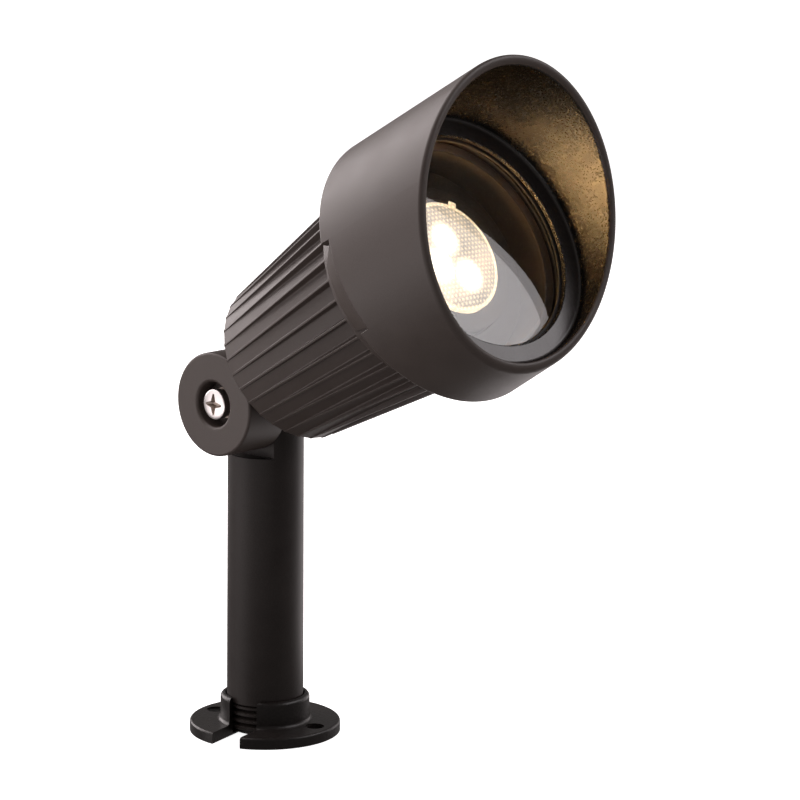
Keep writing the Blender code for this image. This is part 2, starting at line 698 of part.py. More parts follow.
def make_glass_and_rings():
    corners = [
        (0.0, GLASS_FRONT),
        (GLASS_RADIUS, GLASS_FRONT, FINE_EDGE),
        (GLASS_RADIUS, GLASS_REAR, FINE_EDGE),
        (0.0, GLASS_REAR),
    ]
    turned("front_glass", corners, FINE, GLASS, HEAD_AXIS, closed=False)
    rear, front = GLASS_FRONT + GAP, LIP_REAR - GAP
    ring("glass_gasket", GASKET_BORE, GLASS_RADIUS, rear, front, MEDIUM, RUBBER, HEAD_AXIS)
    rear, front = SNAP_SEAT_REAR + GAP, SNAP_SEAT_FRONT - GAP
    snap_radius = SNAP_SEAT_RADIUS - GAP
    ring("glass_retaining_ring", SNAP_RING_BORE, snap_radius, rear, front, MEDIUM, BLACK_STEEL, HEAD_AXIS)
    seat_middle = (RING_SEAT_REAR + RING_SEAT_FRONT) / 2
    circle = RING_SEAT_RADIUS + GAP + O_RING_THICKNESS / 2
    round_ring("hood_o_ring", circle, O_RING_THICKNESS, seat_middle, MEDIUM, RUBBER, HEAD_AXIS)


def make_lamp():
    corners = [
        (0.0, LAMP_POCKET_FLOOR),
        (LAMP_POCKET_RADIUS, LAMP_POCKET_FLOOR),
        (LAMP_POCKET_RADIUS, LAMP_FRONT),
        (LAMP_RADIUS, LAMP_FRONT),
        (LAMP_RADIUS, LAMP_FRONT - LAMP_RIM),
        (LAMP_WAIST_RADIUS, LAMP_WAIST),
        (LAMP_BASE_RADIUS, LAMP_BASE_TOP),
        (LAMP_BASE_RADIUS, LAMP_BASE, mm),
        (0.0, LAMP_BASE),
    ]
    turned("lamp_body", corners, MEDIUM, HEAT_SINK, HEAD_AXIS, closed=False)
    ring(
        "lamp_bezel", LENS_RADIUS + GAP, BEZEL_RADIUS, BEZEL_REAR, BEZEL_FRONT, MEDIUM, DARK_PLASTIC,
        HEAD_AXIS, fillet=FINE_EDGE,
    )
    board_rear = LAMP_POCKET_FLOOR + GAP
    rod("led_board", BOARD_RADIUS, board_rear, board_rear + BOARD_THICKNESS, MEDIUM, BOARD, HEAD_AXIS)
    chip_rear = board_rear + BOARD_THICKNESS + GAP
    half = CHIP_SIZE / 2
    for chip in range(CHIPS):
        angle = 2 * math.pi * chip / CHIPS + LAMP_TURN
        low = (CHIP_CIRCLE - half, -half, chip_rear)
        high = (CHIP_CIRCLE + half, half, chip_rear + CHIP_HEIGHT)
        block(f"led_chip_{chip + 1}", low, high, CHIP, HEAD_AXIS, rotation=(0.0, 0.0, angle))

    angles = [math.pi / 2 * step / CROWN_STEPS for step in range(CROWN_STEPS + 1)]
    rise = LENS_CROWN - LENS_EDGE
    corners = [(LENS_RADIUS * math.sin(angle), LENS_EDGE + rise * math.cos(angle)) for angle in angles]
    corners += [(LENS_RADIUS, LENS_REAR), (0.0, LENS_REAR)]
    lens = turned("lamp_lens", corners, MEDIUM, LENS, HEAD_AXIS, closed=False)
    tab_low = (LENS_RADIUS - LENS_TAB, -LENS_TAB, BEZEL_FRONT + GAP)
    tab_high = (LENS_RADIUS + LENS_TAB, LENS_TAB, LENS_EDGE + GAP)
    tab = block("lens_tab", tab_low, tab_high, None, HEAD_AXIS, rotation=(0.0, 0.0, LAMP_TURN))
    combine(lens, tab, "UNION")
    for side, label in ((1, 1), (-1, 2)):
        spot = (0.0, side * PIN_SPACING / 2)
        rod(f"lamp_pin_{label}", PIN_RADIUS, PIN_END, LAMP_BASE - GAP, SMALL, STEEL, HEAD_AXIS, spot)


def small_screw(name, seat, direction, spot):
    """A small pan-head screw whose head rests on a seat, with its shank pointing along +1 or -1."""
    head_rear = -SMALL_SCREW_HEAD_HEIGHT
    tip = head_rear - SMALL_SCREW_LENGTH
    corners = [
        (0.0, 0.0),
        (SMALL_SCREW_HEAD_RADIUS, 0.0, SOFT_EDGE),
        (SMALL_SCREW_HEAD_RADIUS, head_rear),
        (SMALL_SCREW_RADIUS, head_rear),
        (SMALL_SCREW_RADIUS, tip),
        (0.0, tip),
    ]
    place = (*spot, seat - direction * SMALL_SCREW_HEAD_HEIGHT)
    over = (math.pi, 0.0, 0.0) if direction > 0 else (0.0, 0.0, 0.0)
    turned(name, corners, SMALL, STEEL, HEAD_AXIS, closed=False, rotation=over, location=place)


def make_holder():
    holder = rod("lamp_holder", HOLDER_RADIUS, HOLDER_REAR, LAMP_BASE - GAP, MEDIUM, CERAMIC, HEAD_AXIS)
    for side in (1, -1):
        spot = (0.0, side * PIN_SPACING / 2)
        socket = rod(f"pin_socket_{side}", PIN_SOCKET, PIN_END - mm, REACH, SMALL, None, HEAD_AXIS, spot)
        combine(holder, socket)
        hole_end = HOLDER_REAR + SMALL_SCREW_LENGTH
        spot = (side * HOLDER_SCREW_OFFSET, 0.0)
        tapped = rod(f"holder_hole_{side}", SMALL_SCREW_HOLE, 0.0, hole_end, SMALL, None, HEAD_AXIS, spot)
        combine(holder, tapped)


def make_bracket():
    foot = HOUSING_WALL_REAR + GAP + BRACKET_THICKNESS / 2
    path = [
        (-BRACKET_FOOT, foot), (-BRACKET_LEG, foot), (-BRACKET_LEG, BRACKET_TOP),
        (BRACKET_LEG, BRACKET_TOP), (BRACKET_LEG, foot), (BRACKET_FOOT, foot),
    ]
    shape = bmesh.new()
    points = [shape.verts.new((across, -BRACKET_WIDTH / 2, station)) for across, station in path]
    edges = [shape.edges.new(pair) for pair in zip(points, points[1:])]
    strip = bmesh.ops.extrude_edge_only(shape, edges=edges)
    moved = [item for item in strip["geom"] if isinstance(item, bmesh.types.BMVert)]
    bmesh.ops.translate(shape, verts=moved, vec=(0.0, BRACKET_WIDTH, 0.0))
    mesh = bpy.data.meshes.new("holder_bracket")
    shape.to_mesh(mesh)
    shape.free()
    bracket = add_object("holder_bracket", mesh, STEEL, HEAD_AXIS)
    sheet = bracket.modifiers.new("sheet", "SOLIDIFY")
    sheet.thickness = BRACKET_THICKNESS
    sheet.offset = 0.0
    sheet.use_even_offset = True
    for side, label in ((1, 1), (-1, 2)):
        foot_spot = (side * BRACKET_SCREW_OFFSET, 0.0)
        foot_top = foot + BRACKET_THICKNESS / 2 + GAP
        foot_hole = rod(
            f"foot_hole_{label}", SMALL_SCREW_HOLE, 0.0, foot_top + mm, SMALL, None, HEAD_AXIS, foot_spot
        )
        combine(bracket, foot_hole)
        top_spot = (side * HOLDER_SCREW_OFFSET, 0.0)
        below = BRACKET_TOP - 2 * BRACKET_THICKNESS
        top_hole = rod(f"top_hole_{label}", SMALL_SCREW_HOLE, below, REACH, SMALL, None, HEAD_AXIS, top_spot)
        combine(bracket, top_hole)
        small_screw(f"bracket_screw_{label}", foot_top, -1, foot_spot)
        small_screw(f"holder_screw_{label}", BRACKET_TOP - BRACKET_THICKNESS / 2 - GAP, 1, top_spot)


def make_trim_plate():
    front = TRIM_REAR + TRIM_THICKNESS
    ring("trim_plate", TRIM_BORE, TRIM_RADIUS, TRIM_REAR, front, MEDIUM, DARK_PLASTIC, HEAD_AXIS)


make_base_flange()
make_post()
make_post_grommet()
make_pivot_fastener()
make_knuckle_seal()
make_housing()
make_cable_grommet()
make_hood()
make_glass_and_rings()
make_lamp()
make_holder()
make_bracket()
make_trim_plate()
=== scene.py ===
"""Looks of a garden spotlight: finished surfaces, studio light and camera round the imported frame.

Head pieces are modelled round the head's own axis, with local +Z forwards, local +X down and zero at
the tilt pivot. Pieces on the pivot have local +Z towards the screw's head. All sizes are in metres.
"""

import json
import math

import bmesh
import bpy
from mathutils import Matrix, Vector

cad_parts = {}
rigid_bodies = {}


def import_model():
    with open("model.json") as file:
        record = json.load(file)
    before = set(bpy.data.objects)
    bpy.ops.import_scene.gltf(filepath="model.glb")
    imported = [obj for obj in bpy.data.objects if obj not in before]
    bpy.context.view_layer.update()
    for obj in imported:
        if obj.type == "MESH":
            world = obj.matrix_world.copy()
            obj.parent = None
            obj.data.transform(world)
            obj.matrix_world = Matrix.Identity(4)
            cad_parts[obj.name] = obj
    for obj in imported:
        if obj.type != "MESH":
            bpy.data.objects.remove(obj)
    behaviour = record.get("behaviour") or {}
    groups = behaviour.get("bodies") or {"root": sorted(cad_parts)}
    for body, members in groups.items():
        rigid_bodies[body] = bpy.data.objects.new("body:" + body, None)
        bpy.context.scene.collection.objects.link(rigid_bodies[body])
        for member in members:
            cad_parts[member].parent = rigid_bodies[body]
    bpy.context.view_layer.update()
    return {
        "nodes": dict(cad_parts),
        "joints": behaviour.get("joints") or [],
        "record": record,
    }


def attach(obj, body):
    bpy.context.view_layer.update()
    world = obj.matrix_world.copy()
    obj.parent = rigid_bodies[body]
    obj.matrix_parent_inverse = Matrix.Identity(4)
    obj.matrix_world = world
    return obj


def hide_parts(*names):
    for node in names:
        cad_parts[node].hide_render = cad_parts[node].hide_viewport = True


mm = 0.001

# Floor flange
FLANGE_RADIUS = 25.5 * mm
FLANGE_THICKNESS = 3.8 * mm
FLANGE_EDGE = 0.9 * mm
FLANGE_TURN = math.radians(14)
BOSS_RADIUS = 15.1 * mm
BOSS_TOP = 13.0 * mm
BOSS_BORE = 13.25 * mm
BOSS_ROUND = 1.4 * mm
BOSS_LEAD_IN = 0.5 * mm
WEB_BORE = 9.5 * mm
WEB_THICKNESS = 0.6 * mm
CABLE_SLOT_WIDTH = 10.7 * mm
FLANGE_HOLE_RADIUS = 2.7 * mm
FLANGE_HOLE_CIRCLE = 19.6 * mm
FLANGE_HOLE_SINK = 0.5 * mm

# Post
POST_RADIUS = 12.7 * mm
POST_FOOT_RADIUS = 12.95 * mm
POST_BOTTOM = 0.9 * mm
POST_BORE = 9.3 * mm
POST_BORE_TOP = 91.5 * mm
THREAD_TOP = 11.2 * mm
THREAD_PITCH = 2.35 * mm
THREAD_CRESTS = 4
THREAD_CREST_SHARE = 0.15
THREAD_CREST_RADIUS = 12.8 * mm
THREAD_ROOT_RADIUS = 11.5 * mm
SHOULDER_HEIGHT = 96.2 * mm
INLET_BORE = 3.5 * mm
INLET_TOP = 7.0 * mm

# Tilt pivot: stations are measured from the middle plane towards the screw's head
LAP_FACE = 6.85 * mm
EAR_REAR = 7.15 * mm
TONGUE_RADIUS = 13.1 * mm
TONGUE_DISC_RADIUS = 15.0 * mm
TONGUE_DISC_BACK = -4.0 * mm
PIVOT_HOLE = 2.9 * mm
SEAL_CIRCLE = 12.9 * mm
SEAL_THICKNESS = 1.2 * mm
SEAL_GROOVE_WIDTH = 2.2 * mm
SEAL_GROOVE_FLOOR = 5.5 * mm
EAR_RADIUS = 17.3 * mm
EAR_FACE = 24.5 * mm
EAR_FILLET = 0.9 * mm
COUNTERBORE = 7.5 * mm
COUNTERBORE_FLOOR = 18.0 * mm
COUNTERBORE_ROUND = 1.2 * mm
CHAMBER_INNER = 5.5 * mm
CHAMBER_OUTER = 10.8 * mm
CHAMBER_FLOOR = 14.0 * mm
NECK_TOP = -13.0 * mm
NECK_BOTTOM = 9.0 * mm
NECK_RECESS = 4.0 * mm
NECK_REAR = 11.1 * mm
NECK_FRONT = 20.3 * mm
SCREW_RADIUS = 2.5 * mm
SCREW_HEAD_RADIUS = 5.0 * mm
SCREW_HEAD_TOP = 24.4 * mm
SCREW_HEAD_HEIGHT = 3.4 * mm
SCREW_DOME = 0.6 * mm
RECESS_REACH = 4.1 * mm
RECESS_WAIST = 1.15 * mm
RECESS_TIP = 0.4 * mm
RECESS_DEPTH = 1.9 * mm
RECESS_TAPER = 0.45
RECESS_MARGIN = 0.06 * mm
WASHER_RADIUS = 5.2 * mm
WASHER_REAR = 18.3 * mm
WASHER_FRONT = 19.2 * mm
WASHER_EDGE = 0.15 * mm
SPRING_WASHER_RADIUS = 4.6 * mm
SPRING_WASHER_REAR = 19.5 * mm
SPRING_WASHER_FRONT = 20.7 * mm
FASTENER_BORE = 2.8 * mm
NUT_SIDES = 6
NUT_WIDTH = 8.0 * mm
NUT_POCKET_WIDTH = 8.6 * mm
NUT_BACK = -11.4 * mm
NUT_FRONT = -7.6 * mm

# Finned housing: stations along the head axis
HEAD_RISE = 5.1 * mm
HOUSING_REAR = 16.8 * mm
HOUSING_REAR_RADIUS = 28.0 * mm
HOUSING_TAPER = 0.125
HOUSING_WALL_REAR = 21.3 * mm
HOUSING_BORE_REAR = 22.6 * mm
HOUSING_BORE_FRONT = 31.9 * mm
HOUSING_EDGE = 0.8 * mm
COLLAR_FRONT = 92.6 * mm
HOUSING_FLANGE_RADIUS = 42.4 * mm
HOUSING_FLANGE_FRONT = 97.0 * mm
SPIGOT_RADIUS = 37.4 * mm
SPIGOT_BORE = 33.8 * mm
SPIGOT_FRONT = 105.0 * mm
RING_SEAT_RADIUS = 35.6 * mm
RING_SEAT_REAR = 100.6 * mm
RING_SEAT_FRONT = 103.2 * mm
TRIM_SEAT = 92.2 * mm
TRIM_SEAT_RADIUS = 33.4 * mm
FINS = 33
FIN_FRONT = 80.8 * mm
FIN_FRONT_HEIGHT = 2.8 * mm
FIN_REAR_HEIGHT = 0.25 * mm
FIN_THICKNESS = 0.8 * mm
FIN_DRAFT = 0.09
FIN_EDGE = 0.25 * mm
FIN_ROOT = 0.6 * mm
FIN_ROUND_SHARE = 0.42
COLLAR_SINK = 0.03 * mm
KEY_HALF_WIDTH = 15.0 * mm
KEY_RADIUS = 45.3 * mm
KEY_REAR = 82.0 * mm
KEY_FRONT = 95.1 * mm
KEY_FOOT_RADIUS = 33.0 * mm
KEY_DROP = math.radians(2.5)

# Hood
HOOD_REAR = 91.8 * mm
HOOD_REAR_RADIUS = 46.36 * mm
HOOD_TAPER = 0.0247
HOOD_WALL = 3.2 * mm
HOOD_EDGE = 1.0 * mm
SKIRT_BORE = 43.2 * mm
HOOD_SHOULDER = 97.4 * mm
HOOD_BORE = 38.7 * mm
SNAP_SEAT_RADIUS = 39.7 * mm
SNAP_SEAT_REAR = 104.8 * mm
SNAP_SEAT_FRONT = 106.4 * mm
LIP_REAR = 112.2 * mm
LIP_FRONT = 113.9 * mm
LIP_RADIUS = 36.1 * mm
LIP_EDGE = 0.5 * mm
LIP_FILLET = 1.3 * mm
RIM_CENTRE = 135.1 * mm
RIM_SLANT = 0.441
RIM_ROUND = 1.6 * mm
NOTCH_DEPTH = 3.6 * mm
NOTCH_CLEARANCE = 0.5 * mm
NOTCH_SLIP = 0.075 * mm

# Glass, rings and lamp
GLASS_RADIUS = 38.4 * mm
GLASS_REAR = 107.0 * mm
GLASS_FRONT = 110.8 * mm
GASKET_BORE = 35.2 * mm
GASKET_REAR = 111.1 * mm
GASKET_FRONT = 111.9 * mm
SNAP_RING_BORE = 37.8 * mm
SNAP_RING_RADIUS = 39.4 * mm
SNAP_RING_REAR = 105.1 * mm
SNAP_RING_FRONT = 106.1 * mm
O_RING_THICKNESS = 2.2 * mm
O_RING_CIRCLE = 37.0 * mm
O_RING_STATION = 101.9 * mm
LENS_RADIUS = 18.95 * mm
LENS_REAR = 95.1 * mm
LENS_EDGE = 98.8 * mm
LENS_CROWN = 100.5 * mm
LENS_BORDER = 0.9 * mm
LENS_TAB = 1.35 * mm
LAMP_TURN = math.radians(151)
LENS_TAB_REAR = 98.6 * mm
BEZEL_BORE = 19.25 * mm
BEZEL_RADIUS = 24.9 * mm
BEZEL_REAR = 94.5 * mm
BEZEL_FRONT = 98.3 * mm
BEZEL_LIP = 1.2 * mm
TRIM_REAR = 92.6 * mm
TRIM_FRONT = 93.8 * mm
TRIM_BORE = 25.4 * mm
TRIM_RADIUS = 33.0 * mm

# Glow of the lens: hazes are (spot, reach, strength), and a spot is (down, away from the screw's side)
LENS_CELL = 1.7 * mm
LENS_CELL_GLOW = (0.2, 0.78)
LENS_CELL_RELIEF = 0.08 * mm
LENS_WAVE_RANGE = (-1.5, 3.0)
LENS_SPOTS = ((-5.8 * mm, -1.4 * mm), (7.4 * mm, 2.9 * mm), (2.5 * mm, -8.0 * mm))
LENS_SPOT_FALLOFF = (1.2 * mm, 7.5 * mm)
LENS_SPOT_GLOW = 2.6
LENS_HAZES = (((4.7 * mm, -9.5 * mm), 15 * mm, 0.5), ((3 * mm, 14 * mm), 12 * mm, 0.15))
LENS_HAZE_CORE = 0.25
LENS_BORDER_GLOW = 0.6
LENS_CLOUD = 7 * mm
LENS_CLOUD_GLOW = 0.12
LENS_GLOW_COLOURS = ((1.0, 0.78, 0.5), (1.0, 0.93, 0.8))
LENS_COLOURS = ((0.16, 0.14, 0.11), (0.24, 0.22, 0.18))
LENS_ROUGHNESS = (0.3, 0.15)
LAMP_BEAM_RADIUS = 14 * mm
LAMP_BEAM_SHIFT = 2.5 * mm
LAMP_BEAM_RISE = 6 * mm
LAMP_BEAM_WATTS = 0.028
LAMP_BEAM_COLOUR = (1.0, 0.58, 0.22)

# Other finishes
GRAIN_SHARE = 0.6
MOTTLING = 9 * mm
NOISE_DETAIL = 2.0
NOISE_RANGE = (0.3, 0.7)
UNIT_RANGE = (0.0, 1.0)
GLASS_MOTTLING = 6 * mm
GLASS_ROUGHNESS = (0.0, 0.02)
GLASS_TINTS = ((0.985, 0.995, 0.99), (0.97, 0.985, 0.98))
GLASS_IOR = 1.5

# Small roundings, and how far a joined solid runs into its neighbour
FINE_EDGE = 0.3 * mm
SOFT_EDGE = 0.5 * mm
OVERLAP = 1.0 * mm

# Fineness of the meshes
ROUND = 128
HOOD_COLUMNS = 192
SMALL_ROUND = 64
SECTION_ROUND = 16
ARC_STEP = math.radians(15)
CROWN_STEPS = 16
FIN_STEPS = 8
EDGE_STEPS = 4
RIM_STEPS = 6
KEY_STEPS = 16
KEY_BEVEL_STEPS = 3
MERGE = 0.002 * mm
SHARP_ANGLE = math.radians(38)
REACH = 60 * mm

# Camera
CAMERA_PLACE = (0.89357, -0.87732, 0.36929)
CAMERA_AZIMUTH = math.radians(43.48)
CAMERA_ELEVATION = math.radians(11.52)
CAMERA_ROLL = math.radians(0.586)
CAMERA_LENS = 172.3
CAMERA_SENSOR = 36.0
CAMERA_SIGHT = 50.0

# Studio: softboxes are (name, place from the centre, size, radiance), floor panels have a floor spot
STUDIO_CENTRE = Vector((0.06, 0.0, 0.16))
SOFTBOXES = (
    ("left_softbox", (-0.65, -0.96, 0.05), (1.05, 1.2), 1.15),
    ("back_softbox", (-1.15, -0.06, 0.32), (0.9, 0.9), 4.2),
    ("top_softbox", (-0.55, -0.4, 1.0), (0.9, 0.9), 2.7),
    ("right_softbox", (0.0, 1.3, 0.05), (0.8, 0.9), 1.1),
)
FLOOR_PANELS = (
    ("bounce_softbox", (-0.15, 0.28), (0.5, 0.4), 1.2),
    ("floor_softbox", (0.1, -0.5), (0.9, 0.6), 1.1),
)
FLOOR_PANEL_HEIGHT = 2 * mm
GLASS_SOFTBOX_PLACE = (0.75, 0.75, 0.72)
GLASS_SOFTBOX_SIZE = (1.2, 0.7)
GLASS_SOFTBOX_RADIANCE = 2.9
GLASS_SOFTBOX_COLOUR = (1.0, 0.95, 0.97)
SOFTBOX_COLOUR = (1.0, 0.92, 0.92)
WORLD_COLOUR = (1.0, 0.94, 0.92, 1.0)
WORLD_STRENGTH = 0.2
FLOOR_REACH = 12.0
FLOOR_GAP = 0.2 * mm
FLOOR_COLOUR = (0.9, 0.9, 0.9, 1.0)
FLOOR_ROUGHNESS = 0.9
FLOOR_GLOW_COLOUR = (1.0, 1.0, 1.0, 1.0)
FLOOR_GLOW = 0.95


def clear_scene():
    for item in list(bpy.data.objects):
        bpy.data.objects.remove(item, do_unlink=True)


clear_scene()
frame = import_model()
JOINTS = {joint["name"]: joint for joint in frame["joints"]}

# Frames of the pieces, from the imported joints
FORWARD = Vector(JOINTS["hood_pull"]["axis"])
HEAD_TILT = math.asin(FORWARD.z)
ON_POST = Matrix.Identity(4)
AT_PIVOT = Matrix.Translation(JOINTS["head_tilt"]["pos_m"])
TOWARDS_SCREW = Matrix.Rotation(math.pi / 2, 4, "X")
ON_PIVOT = AT_PIVOT @ TOWARDS_SCREW
AT_HEAD = AT_PIVOT @ Matrix.Rotation(math.pi / 2 - HEAD_TILT, 4, "Y")
ON_EAR = AT_HEAD @ TOWARDS_SCREW
ON_HEAD = AT_HEAD @ Matrix.Translation((-HEAD_RISE, 0.0, 0.0))
ON_FLANGE = Matrix.Rotation(FLANGE_TURN, 4, "Z")


# Meshes


def polar(radius, turn, station):
    return (radius * math.cos(turn), radius * math.sin(turn), station)


def even_turns(count):
    return [2 * math.pi * index / count for index in range(count)]


def quarter_turns(steps):
    return [math.pi / 2 * step / steps for step in range(steps + 1)]


def arc_corner(before, corner, after, radius):
    """Points of the arc that rounds one corner of an outline."""
    to_before = math.atan2(before[1] - corner[1], before[0] - corner[0])
    to_after = math.atan2(after[1] - corner[1], after[0] - corner[0])
    opening = (to_after - to_before + math.pi) % (2 * math.pi) - math.pi
    middle = to_before + opening / 2
    reach = radius / math.sin(abs(opening) / 2)
    centre = (corner[0] + reach * math.cos(middle), corner[1] + reach * math.sin(middle))
    sweep = math.pi - abs(opening)
    pieces = max(2, round(sweep / ARC_STEP))
    turn = -1 if opening > 0 else 1
    first = middle + math.pi - turn * sweep / 2
    angles = [first + turn * sweep * step / pieces for step in range(pieces + 1)]
    return [(centre[0] + radius * math.cos(a), centre[1] + radius * math.sin(a)) for a in angles]


def outline(corners, closed=True):
    """Points of an outline whose corners are (radius, station) or (radius, station, fillet)."""
    points = []
    for index, corner in enumerate(corners):
        inside = closed or 0 < index < len(corners) - 1
        if len(corner) == 3 and inside:
            before = corners[index - 1]
            after = corners[(index + 1) % len(corners)]
            points += arc_corner(before, corner, after, corner[2])
        else:
            points.append((corner[0], corner[1]))
    return points


def crown_points(radius, edge, rise):
    """Outline of a dome from its top to its edge."""
    return [(radius * math.sin(a), edge + rise * math.cos(a)) for a in quarter_turns(CROWN_STEPS)]


def stitch(shape, first, second):
    """Faces between two closed rows of points. A row of one point makes a fan."""
    faces = []
    count = max(len(first), len(second))
    for column in range(count):
        following = (column + 1) % count
        corners = [
            first[column % len(first)],
            first[following % len(first)],
            second[following % len(second)],
            second[column % len(second)],
        ]
        faces.append(shape.faces.new(list(dict.fromkeys(corners))))
    return faces


def closed_mesh(name, shape):
    """The finished mesh of a closed shape, with its doubled points merged and its faces pointing out."""
    bmesh.ops.remove_doubles(shape, verts=shape.verts, dist=MERGE)
    bmesh.ops.recalc_face_normals(shape, faces=shape.faces)
    mesh = bpy.data.meshes.new(name)
    shape.to_mesh(mesh)
    shape.free()
    return mesh


def lathe(name, corners, columns=ROUND, closed=True):
    """A shape turned round local Z from an outline, which is open where it starts and ends on the axis."""
    shape = bmesh.new()
    rows = []
    for radius, station in outline(corners, closed):
        turns = even_turns(columns) if radius > MERGE else [0.0]
        rows.append([shape.verts.new(polar(radius, turn, station)) for turn in turns])
    pairs = list(zip(rows, rows[1:]))
    if closed:
        pairs.append((rows[-1], rows[0]))
    for first, second in pairs:
        stitch(shape, first, second)
    return closed_mesh(name, shape)


def ring(name, bore, radius, rear, front, edge=FINE_EDGE, columns=ROUND):
    """A turned ring of rectangular section with all its edges rounded."""
    corners = [(radius, front, edge), (radius, rear, edge), (bore, rear, edge), (bore, front, edge)]
    return lathe(name, corners, columns)


def round_ring(name, circle, thickness, station, columns=ROUND):
    """A turned ring of round section."""
    half = thickness / 2
    sides = even_turns(SECTION_ROUND)
    corners = [(circle + half * math.cos(a), station + half * math.sin(a)) for a in sides]
    return lathe(name, corners, columns)


def prism(name, plan, start, end, end_scale=1.0):
    """A prism on local Z over a plan outline, whose far end can be scaled."""
    shape = bmesh.new()
    near = [shape.verts.new((x, y, start)) for x, y in plan]
    far = [shape.verts.new((x * end_scale, y * end_scale, end)) for x, y in plan]
    stitch(shape, near, far)
    shape.faces.new(near)
    shape.faces.new(far)
    return closed_mesh(name, shape)


def rod(name, radius, start, end, spot=(0.0, 0.0), columns=SMALL_ROUND):
    plan = [(spot[0] + radius * math.cos(a), spot[1] + radius * math.sin(a)) for a in even_turns(columns)]
    return prism(name, plan, start, end)


def block(name, low, high):
    plan = [(low[0], low[1]), (high[0], low[1]), (high[0], high[1]), (low[0], high[1])]
    return prism(name, plan, low[2], high[2])


def temporary(mesh, place=ON_POST):
    made = bpy.data.objects.new(mesh.name, mesh)
    made.matrix_world = place
    bpy.context.scene.collection.objects.link(made)
    return made


def shaped(name, mesh, cuts=(), joins=(), bevel=0.0, bevel_steps=2):
    """The mesh after joins and cuts with other meshes, given as (mesh, place) pairs, and small bevels."""
    body = temporary(mesh)
    tools = []
    for operation, group in (("UNION", joins), ("DIFFERENCE", cuts)):
        for tool_mesh, place in group:
            tool = temporary(tool_mesh, place)
            boolean = body.modifiers.new(tool.name, "BOOLEAN")
            boolean.object = tool
            boolean.operation = operation
            boolean.solver = "EXACT"
            tools.append(tool)
    if bevel:
        rounding = body.modifiers.new("rounding", "BEVEL")
        rounding.width = bevel
        rounding.segments = bevel_steps
        rounding.limit_method = "ANGLE"
        rounding.angle_limit = SHARP_ANGLE
    bpy.context.view_layer.update()
    evaluated = body.evaluated_get(bpy.context.evaluated_depsgraph_get())
    result = bpy.data.meshes.new_from_object(evaluated)
    result.name = name
    result.materials.clear()
    for item in (body, *tools):
        bpy.data.objects.remove(item, do_unlink=True)
    return result


def add_piece(name, mesh, place, body, nodes, slot, *finishes, own_axes=False):
    """A dressed piece that rides a body and stands for its nodes.

    With own axes its finish follows the place's frame, and otherwise the frame of the whole object.
    """
    piece = bpy.data.objects.new(name, mesh)
    bpy.context.scene.collection.objects.link(piece)
    if own_axes:
        piece.matrix_world = place
    else:
        mesh.transform(place)
    for finish in finishes:
        mesh.materials.append(finish)
    mesh.shade_smooth()
    mesh.set_sharp_from_angle(angle=SHARP_ANGLE)
    even = piece.modifiers.new("even_shading", "WEIGHTED_NORMAL")
    even.keep_sharp = True
    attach(piece, body)
    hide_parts(*nodes)
    return piece


# Finishes


def add_node(tree, kind, inputs=None, **settings):
    made = tree.nodes.new(kind)
    for key, value in settings.items():
        setattr(made, key, value)
    for socket, value in (inputs or {}).items():
        if isinstance(value, bpy.types.NodeSocket):
            tree.links.new(value, made.inputs[socket])
        else:
            made.inputs[socket].default_value = value
    return made


def new_finish(name):
    made = bpy.data.materials.new(name)
    made.use_nodes = True
    return made, made.node_tree, made.node_tree.nodes["Principled BSDF"]


def noise(tree, place, size):
    """Noise whose features have about the given size."""
    inputs = {"Vector": place, "Scale": 1 / size, "Detail": NOISE_DETAIL}
    return add_node(tree, "ShaderNodeTexNoise", inputs).outputs[0]


def mapped(tree, value, low, high, source=NOISE_RANGE, smooth=False):
    """A value taken from its source range to the range from low to high."""
    inputs = {"Value": value, "From Min": source[0], "From Max": source[1], "To Min": low, "To Max": high}
    kind = "SMOOTHSTEP" if smooth else "LINEAR"
    return add_node(tree, "ShaderNodeMapRange", inputs, interpolation_type=kind).outputs["Result"]


def calculated(tree, operation, first, second=0.0, third=0.0):
    return add_node(tree, "ShaderNodeMath", {0: first, 1: second, 2: third}, operation=operation).outputs[0]


def blended(tree, factor, first, second):
    """A colour between two others. A mix node takes colours at inputs 6 and 7 and gives one at output 2."""
    made = add_node(tree, "ShaderNodeMix", data_type="RGBA")
    tree.links.new(factor, made.inputs[0])
    for socket, colour in ((6, first), (7, second)):
        made.inputs[socket].default_value = (*colour, 1.0)
    return made.outputs[2]


def grained(name, dark, light, roughness, grain, relief, metallic=0.0, specular=0.5):
    """A finish whose colour and gloss vary with a fine grain and broad mottling. The grain is raised."""
    made, tree, shader = new_finish(name)
    place = add_node(tree, "ShaderNodeTexCoord").outputs["Object"]
    fine = noise(tree, place, grain)
    broad = noise(tree, place, MOTTLING)
    soft = calculated(tree, "MULTIPLY", broad, 1 - GRAIN_SHARE)
    mixed = calculated(tree, "MULTIPLY_ADD", fine, GRAIN_SHARE, soft)
    colour = blended(tree, mapped(tree, mixed, *UNIT_RANGE), dark, light)
    tree.links.new(colour, shader.inputs["Base Color"])
    tree.links.new(mapped(tree, mixed, *roughness), shader.inputs["Roughness"])
    bump = add_node(tree, "ShaderNodeBump", {"Height": fine, "Strength": 1.0, "Distance": relief})
    tree.links.new(bump.outputs[0], shader.inputs["Normal"])
    shader.inputs["Metallic"].default_value = metallic
    shader.inputs["Specular IOR Level"].default_value = specular
    return made


